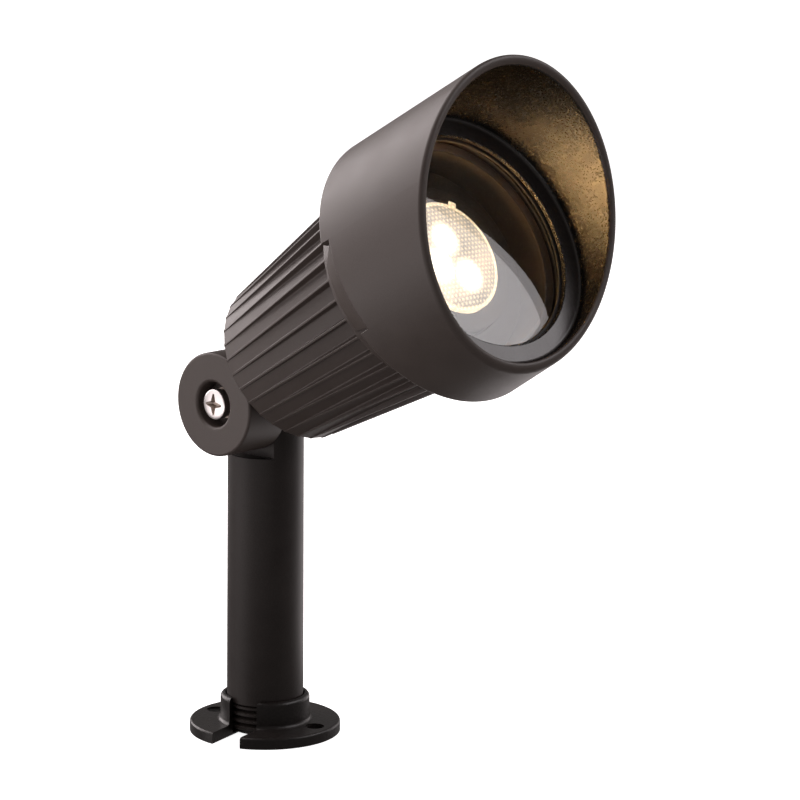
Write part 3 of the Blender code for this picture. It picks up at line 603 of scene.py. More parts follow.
def glass_finish():
    made, tree, shader = new_finish("clear_glass_finish")
    place = add_node(tree, "ShaderNodeTexCoord").outputs["Object"]
    haze = noise(tree, place, GLASS_MOTTLING)
    tree.links.new(mapped(tree, haze, *GLASS_ROUGHNESS), shader.inputs["Roughness"])
    tint = blended(tree, mapped(tree, haze, *UNIT_RANGE), *GLASS_TINTS)
    tree.links.new(tint, shader.inputs["Base Color"])
    shader.inputs["Transmission Weight"].default_value = 1.0
    shader.inputs["IOR"].default_value = GLASS_IOR
    return made


def lens_cells(tree, place):
    """A honeycomb of small domes, from three waves at a third of a turn to each other."""
    wave_number = 4 * math.pi / (math.sqrt(3) * LENS_CELL)
    total = 0.0
    for turn in even_turns(3):
        direction = (wave_number * math.cos(turn), wave_number * math.sin(turn), 0.0)
        along = add_node(tree, "ShaderNodeVectorMath", {0: place, 1: direction}, operation="DOT_PRODUCT")
        wave = calculated(tree, "COSINE", along.outputs["Value"])
        total = calculated(tree, "ADD", wave, total)
    return mapped(tree, total, *UNIT_RANGE, source=LENS_WAVE_RANGE)


def distance_from(tree, place, spot):
    """Distance from a spot on the plane of the lens's edge."""
    inputs = {0: place, 1: (*spot, LENS_EDGE)}
    return add_node(tree, "ShaderNodeVectorMath", inputs, operation="DISTANCE").outputs["Value"]


def lens_spots(tree, place):
    """One where a chip shines through the lens, falling to nothing away from it."""
    brightest = 0.0
    for spot in LENS_SPOTS:
        away = distance_from(tree, place, spot)
        glow = mapped(tree, away, 1.0, 0.0, source=LENS_SPOT_FALLOFF, smooth=True)
        brightest = calculated(tree, "MAXIMUM", glow, brightest)
    return brightest


def lens_haze(tree, place):
    """Broad glows on the two sides of the lens that gather most of the stray light."""
    total = 0.0
    for spot, reach, strength in LENS_HAZES:
        away = distance_from(tree, place, spot)
        glow = mapped(tree, away, strength, 0.0, source=(LENS_HAZE_CORE * reach, reach), smooth=True)
        total = calculated(tree, "ADD", glow, total)
    return total


def lens_finish():
    made, tree, shader = new_finish("lit_lens_finish")
    place = add_node(tree, "ShaderNodeTexCoord").outputs["Object"]
    cells = lens_cells(tree, place)
    spots = lens_spots(tree, place)
    flat = add_node(tree, "ShaderNodeVectorMath", {0: place, 1: (1.0, 1.0, 0.0)}, operation="MULTIPLY")
    away = add_node(tree, "ShaderNodeVectorMath", {0: flat.outputs[0]}, operation="LENGTH").outputs["Value"]
    border_range = (LENS_RADIUS - 2 * LENS_BORDER, LENS_RADIUS - LENS_BORDER)
    border = mapped(tree, away, 0.0, LENS_BORDER_GLOW, source=border_range, smooth=True)
    cloudy = mapped(tree, noise(tree, place, LENS_CLOUD), -LENS_CLOUD_GLOW, LENS_CLOUD_GLOW)
    shine = calculated(tree, "ADD", mapped(tree, cells, *LENS_CELL_GLOW, source=UNIT_RANGE), cloudy)
    shine = calculated(tree, "ADD", shine, border)
    shine = calculated(tree, "MULTIPLY_ADD", spots, LENS_SPOT_GLOW, shine)
    shine = calculated(tree, "ADD", shine, lens_haze(tree, place))
    tree.links.new(shine, shader.inputs["Emission Strength"])
    tree.links.new(blended(tree, spots, *LENS_GLOW_COLOURS), shader.inputs["Emission Color"])
    tree.links.new(blended(tree, cells, *LENS_COLOURS), shader.inputs["Base Color"])
    tree.links.new(mapped(tree, cells, *LENS_ROUGHNESS, source=UNIT_RANGE), shader.inputs["Roughness"])
    domes = {"Height": cells, "Strength": 1.0, "Distance": LENS_CELL_RELIEF}
    bump = add_node(tree, "ShaderNodeBump", domes)
    tree.links.new(bump.outputs[0], shader.inputs["Normal"])
    return made


COAT = grained(
    "powder_coat_finish", dark=(0.043, 0.031, 0.026), light=(0.059, 0.045, 0.039),
    roughness=(0.42, 0.54), grain=0.35 * mm, relief=0.02 * mm,
)
# Inside of the hood: the coat's pebbled relief, with its colour painted near black as shade inside the hood
SHADED_PEBBLED_COAT = grained(
    "shaded_pebbled_coat_finish", dark=(0.001, 0.0009, 0.0008), light=(0.008, 0.006, 0.004),
    roughness=(0.23, 0.31), grain=0.8 * mm, relief=0.15 * mm,
)
# Front face of the lip: a darker, glossier copy of the hood's coat, painted shade in front of the glass
SHADED_LIP_COAT = grained(
    "shaded_lip_coat_finish", dark=(0.022, 0.018, 0.017), light=(0.045, 0.038, 0.036),
    roughness=(0.3, 0.42), grain=0.8 * mm, relief=0.06 * mm, specular=0.7,
)
SATIN = grained(
    "satin_black_finish", dark=(0.007, 0.0055, 0.005), light=(0.016, 0.013, 0.012),
    roughness=(0.26, 0.4), grain=0.9 * mm, relief=0.08 * mm, specular=0.3,
)
POST_SATIN = grained(
    "post_black_finish", dark=(0.016, 0.012, 0.011), light=(0.028, 0.023, 0.021),
    roughness=(0.4, 0.5), grain=0.4 * mm, relief=0.015 * mm, specular=0.25,
)
STEEL = grained(
    "bright_steel_finish", dark=(0.75, 0.71, 0.7), light=(0.86, 0.82, 0.81),
    roughness=(0.28, 0.36), grain=0.3 * mm, relief=0.0015 * mm, metallic=1.0,
)
# Darker copy of the bright steel: painted shade in the screw's recess and on the washers
SHADED_STEEL = grained(
    "shaded_steel_finish", dark=(0.42, 0.36, 0.32), light=(0.56, 0.48, 0.43),
    roughness=(0.45, 0.6), grain=0.3 * mm, relief=0.004 * mm, metallic=1.0,
)
BLACK_STEEL = grained(
    "black_steel_finish", dark=(0.02, 0.019, 0.018), light=(0.03, 0.028, 0.027),
    roughness=(0.5, 0.65), grain=0.4 * mm, relief=0.01 * mm,
)
RUBBER = grained(
    "black_rubber_finish", dark=(0.006, 0.006, 0.006), light=(0.012, 0.012, 0.012),
    roughness=(0.65, 0.8), grain=0.5 * mm, relief=0.03 * mm,
)
DARK_PLASTIC = grained(
    "dark_plastic_finish", dark=(0.018, 0.013, 0.009), light=(0.032, 0.024, 0.018),
    roughness=(0.68, 0.82), grain=0.6 * mm, relief=0.004 * mm,
)
# Near black: painted shade on the faces inside the lamp chamber and behind the hood's lip
PAINTED_SHADE_BLACK = grained(
    "painted_shade_black_finish", dark=(0.016, 0.012, 0.009), light=(0.028, 0.021, 0.016),
    roughness=(0.7, 0.85), grain=0.6 * mm, relief=0.004 * mm,
)
HEAT_SINK = grained(
    "heat_sink_finish", dark=(0.3, 0.3, 0.31), light=(0.4, 0.4, 0.41),
    roughness=(0.38, 0.52), grain=0.5 * mm, relief=0.02 * mm, metallic=0.8,
)
BOARD = grained(
    "white_board_finish", dark=(0.78, 0.78, 0.75), light=(0.88, 0.88, 0.85),
    roughness=(0.4, 0.55), grain=0.6 * mm, relief=0.01 * mm,
)
PHOSPHOR = grained(
    "phosphor_finish", dark=(0.88, 0.7, 0.22), light=(0.97, 0.84, 0.36),
    roughness=(0.35, 0.5), grain=0.4 * mm, relief=0.01 * mm,
)
CERAMIC = grained(
    "ceramic_finish", dark=(0.76, 0.74, 0.68), light=(0.86, 0.84, 0.78),
    roughness=(0.35, 0.55), grain=0.7 * mm, relief=0.015 * mm,
)
GLASS = glass_finish()
LENS = lens_finish()


# Base and post


def make_base_flange():
    corners = [
        (BOSS_RADIUS, BOSS_TOP, BOSS_ROUND),
        (BOSS_RADIUS, FLANGE_THICKNESS, BOSS_ROUND),
        (FLANGE_RADIUS, FLANGE_THICKNESS, FLANGE_EDGE),
        (FLANGE_RADIUS, 0.0),
        (WEB_BORE, 0.0),
        (WEB_BORE, WEB_THICKNESS),
        (BOSS_BORE, WEB_THICKNESS),
        (BOSS_BORE, BOSS_TOP - BOSS_LEAD_IN),
        (BOSS_BORE + BOSS_LEAD_IN / 2, BOSS_TOP),
    ]
    half = CABLE_SLOT_WIDTH / 2
    cuts = [(block("slot", (-half, -REACH, -REACH), (half, -BOSS_BORE / 2, REACH)), ON_POST)]
    for side in (1, -1):
        spot = (side * FLANGE_HOLE_CIRCLE, 0.0)
        cuts.append((rod("hole", FLANGE_HOLE_RADIUS, -REACH, REACH, spot), ON_POST))
        wide = FLANGE_HOLE_RADIUS + FLANGE_HOLE_SINK
        cuts.append((rod("sink", wide, FLANGE_THICKNESS - FLANGE_HOLE_SINK, REACH, spot), ON_POST))
    mesh = shaped("flange_casting", lathe("flange", corners), cuts, bevel=FINE_EDGE)
    add_piece("flange_casting", mesh, ON_FLANGE, "base", ["base_flange"], "base_coat", SATIN)


def thread_corners():
    """The foot's thread ridges, from the top one down to the foot's end."""
    corners = []
    for crest in range(THREAD_CRESTS):
        middle = THREAD_TOP - THREAD_PITCH * (crest + 0.5)
        corners.append((THREAD_ROOT_RADIUS, middle + 0.5 * THREAD_PITCH))
        corners.append((THREAD_CREST_RADIUS, middle + THREAD_CREST_SHARE * THREAD_PITCH))
        corners.append((THREAD_CREST_RADIUS, middle - THREAD_CREST_SHARE * THREAD_PITCH))
    corners.append((THREAD_ROOT_RADIUS, THREAD_TOP - THREAD_PITCH * THREAD_CRESTS))
    return corners


def make_post():
    pivot_height = AT_PIVOT.translation.z
    top = pivot_height + TONGUE_RADIUS + OVERLAP
    corners = [(0.0, top), (POST_RADIUS, top), (POST_FOOT_RADIUS, BOSS_TOP), (POST_FOOT_RADIUS, THREAD_TOP)]
    corners += thread_corners()
    corners += [(THREAD_ROOT_RADIUS, POST_BOTTOM), (POST_BORE, POST_BOTTOM), (POST_BORE, POST_BORE_TOP)]
    corners.append((0.0, POST_BORE_TOP))

    above = block("above", (-REACH, -REACH, pivot_height), (REACH, REACH, 4 * REACH))
    round_top = rod("round_top", TONGUE_RADIUS, -2 * REACH, 2 * REACH, columns=ROUND)
    corner_cut = shaped("corner_cut", above, [(round_top, ON_PIVOT)])
    rounded = shaped("rounded", lathe("post_tube", corners, closed=False), [(corner_cut, ON_POST)])

    disc = rod("tongue_disc", TONGUE_DISC_RADIUS, TONGUE_DISC_BACK, LAP_FACE + OVERLAP, columns=ROUND)
    lap = block("lap", (-REACH, -REACH, SHOULDER_HEIGHT), (REACH, -LAP_FACE, 4 * REACH))
    half_groove = SEAL_GROOVE_WIDTH / 2
    seat = lathe(
        "seal_seat",
        [
            (SEAL_CIRCLE + half_groove, REACH), (SEAL_CIRCLE + half_groove, SEAL_GROOVE_FLOOR),
            (SEAL_CIRCLE - half_groove, SEAL_GROOVE_FLOOR), (SEAL_CIRCLE - half_groove, REACH),
        ],
    )
    hole = rod("pivot_hole", PIVOT_HOLE, -REACH, REACH)
    pocket_radius = NUT_POCKET_WIDTH / 2 / math.cos(math.pi / NUT_SIDES)
    pocket = rod("nut_pocket", pocket_radius, -REACH, NUT_FRONT + FINE_EDGE, columns=NUT_SIDES)
    cuts = [(lap, ON_POST), (seat, ON_PIVOT), (hole, ON_PIVOT), (pocket, ON_PIVOT)]
    mesh = shaped("post_casting", rounded, cuts, [(disc, ON_PIVOT)], bevel=FINE_EDGE)
    add_piece("post_casting", mesh, ON_POST, "post", ["post"], "base_coat", POST_SATIN)

    corners = [
        (POST_BORE - FINE_EDGE, INLET_TOP, SOFT_EDGE),
        (POST_BORE - FINE_EDGE, POST_BOTTOM, FINE_EDGE),
        (INLET_BORE, POST_BOTTOM, SOFT_EDGE),
        (INLET_BORE, INLET_TOP, SOFT_EDGE),
    ]
    mesh = lathe("cable_inlet", corners)
    add_piece("cable_inlet", mesh, ON_POST, "post", ["post_grommet"], "rubber", RUBBER)


# Pivot fastener


def cross_plan():
    """Plan of a cross recess: four arms that narrow towards their tips."""
    plan = []
    for turn in even_turns(4):
        arm = ((RECESS_WAIST, -RECESS_WAIST), (RECESS_REACH, -RECESS_TIP), (RECESS_REACH, RECESS_TIP))
        for along, across in arm:
            x = along * math.cos(turn) - across * math.sin(turn)
            y = along * math.sin(turn) + across * math.cos(turn)
            plan.append((x, y))
    return plan


def make_pivot_fastener():
    head_rear = SCREW_HEAD_TOP - SCREW_HEAD_HEIGHT
    shoulder = SCREW_HEAD_TOP - SCREW_DOME
    corners = crown_points(SCREW_HEAD_RADIUS, shoulder, SCREW_DOME) + [
        (SCREW_HEAD_RADIUS, head_rear, FINE_EDGE),
        (SCREW_RADIUS, head_rear),
        (SCREW_RADIUS, NUT_BACK, SOFT_EDGE),
        (0.0, NUT_BACK),
    ]
    recess_floor = SCREW_HEAD_TOP - RECESS_DEPTH
    recess = prism("recess", cross_plan(), SCREW_HEAD_TOP + FINE_EDGE, recess_floor, RECESS_TAPER)
    mesh = shaped("pivot_machine_screw", lathe("screw", corners, closed=False), [(recess, ON_POST)])
    # Faces in the cross recess get the darker steel: painted shade in the recess
    for face in mesh.polygons:
        away = face.center.xy.length
        dome = shoulder + SCREW_DOME * math.sqrt(max(0.0, 1 - (away / SCREW_HEAD_RADIUS) ** 2))
        shaded_recess = away < RECESS_REACH and head_rear < face.center.z < dome - RECESS_MARGIN
        face.material_index = 1 if shaded_recess else 0
    slot = "bright_steel"
    add_piece("pivot_machine_screw", mesh, ON_PIVOT, "post", ["pivot_screw"], slot, STEEL, SHADED_STEEL)

    name = "pivot_flat_washer"
    # The washers get the darker steel as well: painted shade that keeps glints off them in the gap
    mesh = ring(name, FASTENER_BORE, WASHER_RADIUS, WASHER_REAR, WASHER_FRONT, WASHER_EDGE)
    add_piece(name, mesh, ON_PIVOT, "post", ["pivot_washer"], slot, SHADED_STEEL)
    rear, front = SPRING_WASHER_REAR, SPRING_WASHER_FRONT
    coil = ring("spring", FASTENER_BORE, SPRING_WASHER_RADIUS, rear, front, WASHER_EDGE)
    split = block("split", (0.0, -FINE_EDGE, 0.0), (REACH, FINE_EDGE, REACH))
    mesh = shaped("pivot_split_washer", coil, [(split, ON_POST)])
    add_piece("pivot_split_washer", mesh, ON_PIVOT, "post", ["pivot_spring_washer"], slot, SHADED_STEEL)

    across_corners = NUT_WIDTH / 2 / math.cos(math.pi / NUT_SIDES)
    hexagon = rod("hexagon", across_corners, NUT_BACK, NUT_FRONT, columns=NUT_SIDES)
    bore = rod("nut_bore", FASTENER_BORE, -REACH, REACH)
    mesh = shaped("pivot_hex_nut", hexagon, [(bore, ON_POST)], bevel=FINE_EDGE)
    add_piece("pivot_hex_nut", mesh, ON_PIVOT, "post", ["pivot_nut"], slot, STEEL)

    mesh = round_ring("knuckle_seal_ring", SEAL_CIRCLE, SEAL_THICKNESS, LAP_FACE - SEAL_THICKNESS / 2)
    add_piece("knuckle_seal_ring", mesh, ON_PIVOT, "post", ["knuckle_seal"], "rubber", RUBBER)


# Finned housing


def housing_radius(station):
    return HOUSING_REAR_RADIUS + HOUSING_TAPER * (station - HOUSING_REAR)


def floor_radius(station):
    """Distance from the head axis to the floors between the fins, which lie deeper towards the front."""
    share = (station - HOUSING_REAR) / (FIN_FRONT - HOUSING_REAR)
    return housing_radius(station) - FIN_REAR_HEIGHT - share * (FIN_FRONT_HEIGHT - FIN_REAR_HEIGHT)


def collar_foot(station):
    """Distance from the head axis to a flat floor that has risen to the fins' tips."""
    return housing_radius(station) * math.cos(math.pi / FINS) - COLLAR_SINK


def fin_rows():
    """Rows up to the collar's edge as (station, radius of the fins' tips, distance to the floors)."""
    rows = []
    for angle in quarter_turns(EDGE_STEPS):
        station = HOUSING_REAR + HOUSING_EDGE * (1 - math.cos(angle))
        drop = HOUSING_EDGE * (1 - math.sin(angle))
        rows.append((station, housing_radius(station) - drop, floor_radius(station) - drop))
    start = rows[-1][0]
    wall_foot = FIN_FRONT - 2 * FIN_ROOT
    for step in range(1, FIN_STEPS):
        station = start + (wall_foot - start) * step / FIN_STEPS
        rows.append((station, housing_radius(station), floor_radius(station)))
    wall = FIN_FRONT - FINE_EDGE
    edge_end = FIN_FRONT + 2 * FIN_EDGE
    corners = [
        (floor_radius(wall_foot), wall_foot),
        (floor_radius(wall), wall, FIN_ROOT),
        (collar_foot(FIN_FRONT), FIN_FRONT, FIN_EDGE),
        (collar_foot(edge_end), edge_end),
    ]
    rows += [(station, housing_radius(station), floor) for floor, station in outline(corners, closed=False)]
    return rows


def half_fin(top, floor):
    """Half of a fin's section as (across, outwards) points, from its tip's middle to the gap's middle."""
    sine = math.sin(math.pi / FINS)
    cosine = math.cos(math.pi / FINS)
    tip = FIN_THICKNESS / 2
    root = (floor - (tip + FIN_DRAFT * top) * sine) / (cosine - FIN_DRAFT * sine)
    most = FIN_ROUND_SHARE * (top - root)
    corners = [
        (0.0, top),
        (tip, top, min(FIN_EDGE, most)),
        (tip + FIN_DRAFT * (top - root), root, min(FIN_ROOT, most)),
        (floor * sine, floor * cosine),
    ]
    return outline(corners, closed=False)


def fin_row(station, top, floor):
    """All the points of one row round the housing: each fin from the gap before it to the gap after it."""
    right = half_fin(top, floor)
    left = [(-across, outwards) for across, outwards in reversed(right)]
    points = []
    for turn in even_turns(FINS):
        for across, outwards in left + right[1:-1]:
            points.append((math.hypot(across, outwards), turn + math.atan2(across, outwards), station))
    return points


def collar_rows():
    """The housing's outline from the collar's edge over the spigot to the middle of its inner rear face."""
    behind = FIN_FRONT + 3 * FIN_EDGE
    corners = [
        (housing_radius(behind), behind),
        (housing_radius(COLLAR_FRONT), COLLAR_FRONT, SOFT_EDGE),
        (HOUSING_FLANGE_RADIUS, COLLAR_FRONT, SOFT_EDGE),
        (HOUSING_FLANGE_RADIUS, HOUSING_FLANGE_FRONT, SOFT_EDGE),
        (SPIGOT_RADIUS, HOUSING_FLANGE_FRONT, SOFT_EDGE),
        (SPIGOT_RADIUS, RING_SEAT_REAR),
        (RING_SEAT_RADIUS, RING_SEAT_REAR),
        (RING_SEAT_RADIUS, RING_SEAT_FRONT),
        (SPIGOT_RADIUS, RING_SEAT_FRONT),
        (SPIGOT_RADIUS, SPIGOT_FRONT, SOFT_EDGE),
        (SPIGOT_BORE, SPIGOT_FRONT, SOFT_EDGE),
        (TRIM_SEAT_RADIUS, TRIM_SEAT),
        (HOUSING_BORE_FRONT, TRIM_SEAT),
        (HOUSING_BORE_REAR, HOUSING_WALL_REAR),
        (0.0, HOUSING_WALL_REAR),
    ]
    return outline(corners, closed=False)


def bore_radius(station):
    """Radius of the lamp chamber's wall, which widens towards the front."""
    if station > TRIM_SEAT:
        return SPIGOT_BORE
    share = (station - HOUSING_WALL_REAR) / (TRIM_SEAT - HOUSING_WALL_REAR)
    return HOUSING_BORE_REAR + share * (HOUSING_BORE_FRONT - HOUSING_BORE_REAR)


def make_housing_shell():
    shape = bmesh.new()
    rows = []
    for row in fin_rows():
        rows.append([shape.verts.new(polar(*point)) for point in fin_row(*row)])
    turns = [point[1] for point in fin_row(*fin_rows()[-1])]
    for radius, station in collar_rows()[:-1]:
        rows.append([shape.verts.new(polar(radius, turn, station)) for turn in turns])
    for first, second in zip(rows, rows[1:]):
        stitch(shape, first, second)
    rear_middle = shape.verts.new((0.0, 0.0, HOUSING_REAR))
    stitch(shape, rows[0], [rear_middle])
    wall_middle = shape.verts.new((0.0, 0.0, HOUSING_WALL_REAR))
    stitch(shape, rows[-1], [wall_middle])
    mesh = closed_mesh("housing_shell", shape)
    # Faces inside the lamp chamber get the near-black finish: painted shade in the chamber
    for face in mesh.polygons:
        station = face.center.z
        inside = face.center.xy.length < bore_radius(station) + FINE_EDGE
        face.material_index = 1 if inside and station > HOUSING_WALL_REAR - FINE_EDGE else 0
    add_piece("housing_shell", mesh, ON_HEAD, "head", ["housing"], "head_coat", COAT, PAINTED_SHADE_BLACK)


def make_housing_ear():
    corners = [
        (EAR_RADIUS, EAR_FACE, EAR_FILLET),
        (EAR_RADIUS, EAR_REAR, FINE_EDGE),
        (CHAMBER_OUTER, EAR_REAR),
        (CHAMBER_OUTER, CHAMBER_FLOOR),
        (CHAMBER_INNER, CHAMBER_FLOOR),
        (CHAMBER_INNER, EAR_REAR),
        (PIVOT_HOLE, EAR_REAR),
        (PIVOT_HOLE, COUNTERBORE_FLOOR),
        (COUNTERBORE, COUNTERBORE_FLOOR),
        (COUNTERBORE, EAR_FACE, COUNTERBORE_ROUND),
    ]
    low = (NECK_TOP, -EAR_FACE + NECK_RECESS, NECK_REAR)
    high = (NECK_BOTTOM, -EAR_REAR - SOFT_EDGE, NECK_FRONT)
    neck = block("neck", low, high)
    neck.transform(TOWARDS_SCREW.inverted())
    mesh = shaped("knuckle_ear", lathe("ear", corners), joins=[(neck, ON_POST)])
    add_piece("knuckle_ear", mesh, ON_EAR, "head", ["housing"], "head_coat", COAT)


def key_turn(side):
    """Turn of a key's middle, a little below the head's widest line."""
    return side * (math.pi / 2 - KEY_DROP)


def make_housing_keys():
    """Two ramps on the collar that rise to the hood's notches."""
    half_turn = math.asin(KEY_HALF_WIDTH / KEY_RADIUS)
    section = [
        (KEY_FOOT_RADIUS, KEY_REAR),
        (housing_radius(KEY_REAR), KEY_REAR),
        (KEY_RADIUS, KEY_FRONT),
        (SPIGOT_RADIUS, KEY_FRONT),
    ]
    for side, label in ((1, "right"), (-1, "left")):
        shape = bmesh.new()
        turns = [key_turn(side) + half_turn * (2 * step / KEY_STEPS - 1) for step in range(KEY_STEPS + 1)]
        rows = []
        for radius, station in section:
            rows.append([shape.verts.new(polar(radius, turn, station)) for turn in turns])
        for first, second in zip(rows, rows[1:] + rows[:1]):
            for step in range(KEY_STEPS):
                shape.faces.new((first[step], first[step + 1], second[step + 1], second[step]))
        for end in (0, -1):
            shape.faces.new([row[end] for row in rows])
        name = f"housing_key_{label}"
        mesh = shaped(name, closed_mesh("key", shape), bevel=SOFT_EDGE, bevel_steps=KEY_BEVEL_STEPS)
        add_piece(name, mesh, ON_HEAD, "head", ["housing"], "head_coat", COAT)


# Hood and glass


def hood_radius(station):
    return HOOD_REAR_RADIUS - HOOD_TAPER * (station - HOOD_REAR)


def rim_station(turn, inset):
    """Station of the slanted rim's plane at a turn, at a depth inside the hood's outer surface."""
    slope = RIM_SLANT * math.cos(turn)
    outer = hood_radius(0.0) - inset
    return (RIM_CENTRE - slope * outer) / (1 - slope * HOOD_TAPER)


def rim_points(turn):
    """The rim's rounded section at a turn, from the hood's inner side to its outer side."""
    quarter = quarter_turns(RIM_STEPS)
    arc = [(RIM_ROUND * (1 - math.cos(a)), RIM_ROUND * (1 - math.sin(a))) for a in quarter]
    section = [(HOOD_WALL - inset, drop) for inset, drop in arc] + arc[::-1]
    points = []
    for inset, drop in section:
        station = rim_station(turn, inset) - drop
        points.append((hood_radius(station) - inset, station))
    return points


def notch_half_turn():
    return math.asin((KEY_HALF_WIDTH + NOTCH_CLEARANCE) / HOOD_REAR_RADIUS)


def hood_profile(turn):
    """The hood's section at a turn: rear edge, skirt, seats, lip, inner wall and rim."""
    in_notch = abs(abs(math.remainder(turn, 2 * math.pi)) - key_turn(1)) < notch_half_turn()
    rear = HOOD_REAR + (NOTCH_DEPTH if in_notch else 0.0)
    corners = [
        (hood_radius(rear), rear, HOOD_EDGE),
        (SKIRT_BORE, rear),
        (SKIRT_BORE, HOOD_SHOULDER),
        (HOOD_BORE, HOOD_SHOULDER),
        (HOOD_BORE, SNAP_SEAT_REAR),
        (SNAP_SEAT_RADIUS, SNAP_SEAT_REAR),
        (SNAP_SEAT_RADIUS, SNAP_SEAT_FRONT),
        (HOOD_BORE, SNAP_SEAT_FRONT),
        (HOOD_BORE, LIP_REAR),
        (LIP_RADIUS, LIP_REAR, FINE_EDGE),
        (LIP_RADIUS, LIP_FRONT, LIP_EDGE),
        (hood_radius(LIP_FRONT) - HOOD_WALL, LIP_FRONT, LIP_FILLET),
    ]
    return outline(corners + rim_points(turn))


def hood_turns():
    """Turns of the hood's columns, with a close pair at each side of the two notches."""
    turns = even_turns(HOOD_COLUMNS)
    slip = NOTCH_SLIP / HOOD_REAR_RADIUS
    for middle in (key_turn(1), key_turn(-1) + 2 * math.pi):
        for side in (notch_half_turn(), -notch_half_turn()):
            turns += [middle + side - slip, middle + side + slip]
    return sorted(turns)


def make_hood():
    finishes = (COAT, SHADED_PEBBLED_COAT, SHADED_LIP_COAT, PAINTED_SHADE_BLACK)
    shape = bmesh.new()
    columns = []
    for turn in hood_turns():
        profile = hood_profile(turn)
        columns.append([shape.verts.new(polar(radius, turn, station)) for radius, station in profile])
    # The hood's inner faces take darker copies of its coat as painted shade: near black and glossy on the
    # inner wall and the lip's lit edge, darker on the lip's face, near black behind the lip
    for first, second in zip(columns, columns[1:] + columns[:1]):
        for face in stitch(shape, first, second):
            middle = face.calc_center_median()
            inside = middle.xy.length < hood_radius(middle.z) - HOOD_WALL + FINE_EDGE
            lit_edge = middle.xy.length < LIP_RADIUS + LIP_EDGE and middle.z > LIP_REAR + FINE_EDGE
            if inside and (lit_edge or middle.z > LIP_FRONT + FINE_EDGE):
                face.material_index = finishes.index(SHADED_PEBBLED_COAT)
            elif inside:
                on_lip = middle.z > LIP_REAR + FINE_EDGE / 2
                face.material_index = finishes.index(SHADED_LIP_COAT if on_lip else PAINTED_SHADE_BLACK)
    mesh = closed_mesh("hood_casting", shape)
    add_piece("hood_casting", mesh, ON_HEAD, "hood", ["hood"], "head_coat", *finishes)


def make_glass_and_rings():
    corners = [
        (0.0, GLASS_FRONT),
        (GLASS_RADIUS - 2 * SOFT_EDGE, GLASS_FRONT),
        (GLASS_RADIUS, GLASS_FRONT, SOFT_EDGE),
        (GLASS_RADIUS, GLASS_REAR, SOFT_EDGE),
        (GLASS_RADIUS - 2 * SOFT_EDGE, GLASS_REAR),
        (0.0, GLASS_REAR),
    ]
    mesh = lathe("glass_pane", corners, closed=False)
    pane = add_piece("glass_pane", mesh, ON_HEAD, "hood", ["front_glass"], "clear_glass", GLASS)
    pane.visible_shadow = False
    mesh = ring("glass_seal", GASKET_BORE, GLASS_RADIUS, GASKET_REAR, GASKET_FRONT)
    add_piece("glass_seal", mesh, ON_HEAD, "hood", ["glass_gasket"], "rubber", RUBBER)
    name = "glass_snap_ring"
    mesh = ring(name, SNAP_RING_BORE, SNAP_RING_RADIUS, SNAP_RING_REAR, SNAP_RING_FRONT)
    add_piece(name, mesh, ON_HEAD, "hood", ["glass_retaining_ring"], "black_steel", BLACK_STEEL)
    mesh = round_ring("spigot_seal", O_RING_CIRCLE, O_RING_THICKNESS, O_RING_STATION)
    add_piece("spigot_seal", mesh, ON_HEAD, "head", ["hood_o_ring"], "rubber", RUBBER)


# Lamp


def make_lamp_front():
    corners = crown_points(LENS_RADIUS - LENS_BORDER, LENS_EDGE, LENS_CROWN - LENS_EDGE) + [
        (LENS_RADIUS - FINE_EDGE, LENS_EDGE + FINE_EDGE),
        (LENS_RADIUS, LENS_EDGE),
        (LENS_RADIUS, LENS_REAR, FINE_EDGE),
        (0.0, LENS_REAR),
    ]
    low = (LENS_RADIUS - LENS_TAB, -LENS_TAB, LENS_TAB_REAR)
    high = (LENS_RADIUS + LENS_TAB, LENS_TAB, LENS_EDGE + FINE_EDGE)
    tab = block("tab", low, high)
    lamp_turn = Matrix.Rotation(LAMP_TURN, 4, "Z")
    mesh = shaped("lamp_optic", lathe("optic", corners, closed=False), joins=[(tab, lamp_turn)])
    add_piece("lamp_optic", mesh, ON_HEAD, "head", ["lamp_lens"], "lit_lens", LENS, own_axes=True)

    corners = [
        (BEZEL_RADIUS, BEZEL_FRONT - BEZEL_LIP, SOFT_EDGE),
        (BEZEL_RADIUS, BEZEL_REAR, FINE_EDGE),
        (BEZEL_BORE, BEZEL_REAR),
        (BEZEL_BORE, BEZEL_FRONT, FINE_EDGE),
        (BEZEL_BORE + BEZEL_LIP, BEZEL_FRONT, FINE_EDGE),
    ]
    mesh = lathe("lamp_front_ring", corners)
    add_piece("lamp_front_ring", mesh, ON_HEAD, "head", ["lamp_bezel"], "dark_plastic", DARK_PLASTIC)
    mesh = ring("trim_disc", TRIM_BORE, TRIM_RADIUS, TRIM_REAR, TRIM_FRONT)
    add_piece("trim_disc", mesh, ON_HEAD, "head", ["trim_plate"], "dark_plastic", DARK_PLASTIC)


def dress_inner_nodes():
    """Procedural finishes for the solids that are kept as they are, which sit inside the housing."""
    finishes = {
        "bright_steel": STEEL, "rubber": RUBBER, "heat_sink": HEAT_SINK, "white_board": BOARD,
        "led_chip": PHOSPHOR, "ceramic": CERAMIC,
    }
    slots = {part["node"]: part["material_slot"] for part in frame["record"]["subparts"]}
    for name, node in frame["nodes"].items():
        if node.hide_render:
            continue
        for place in node.material_slots:
            place.material = finishes[slots[name]]


# Studio


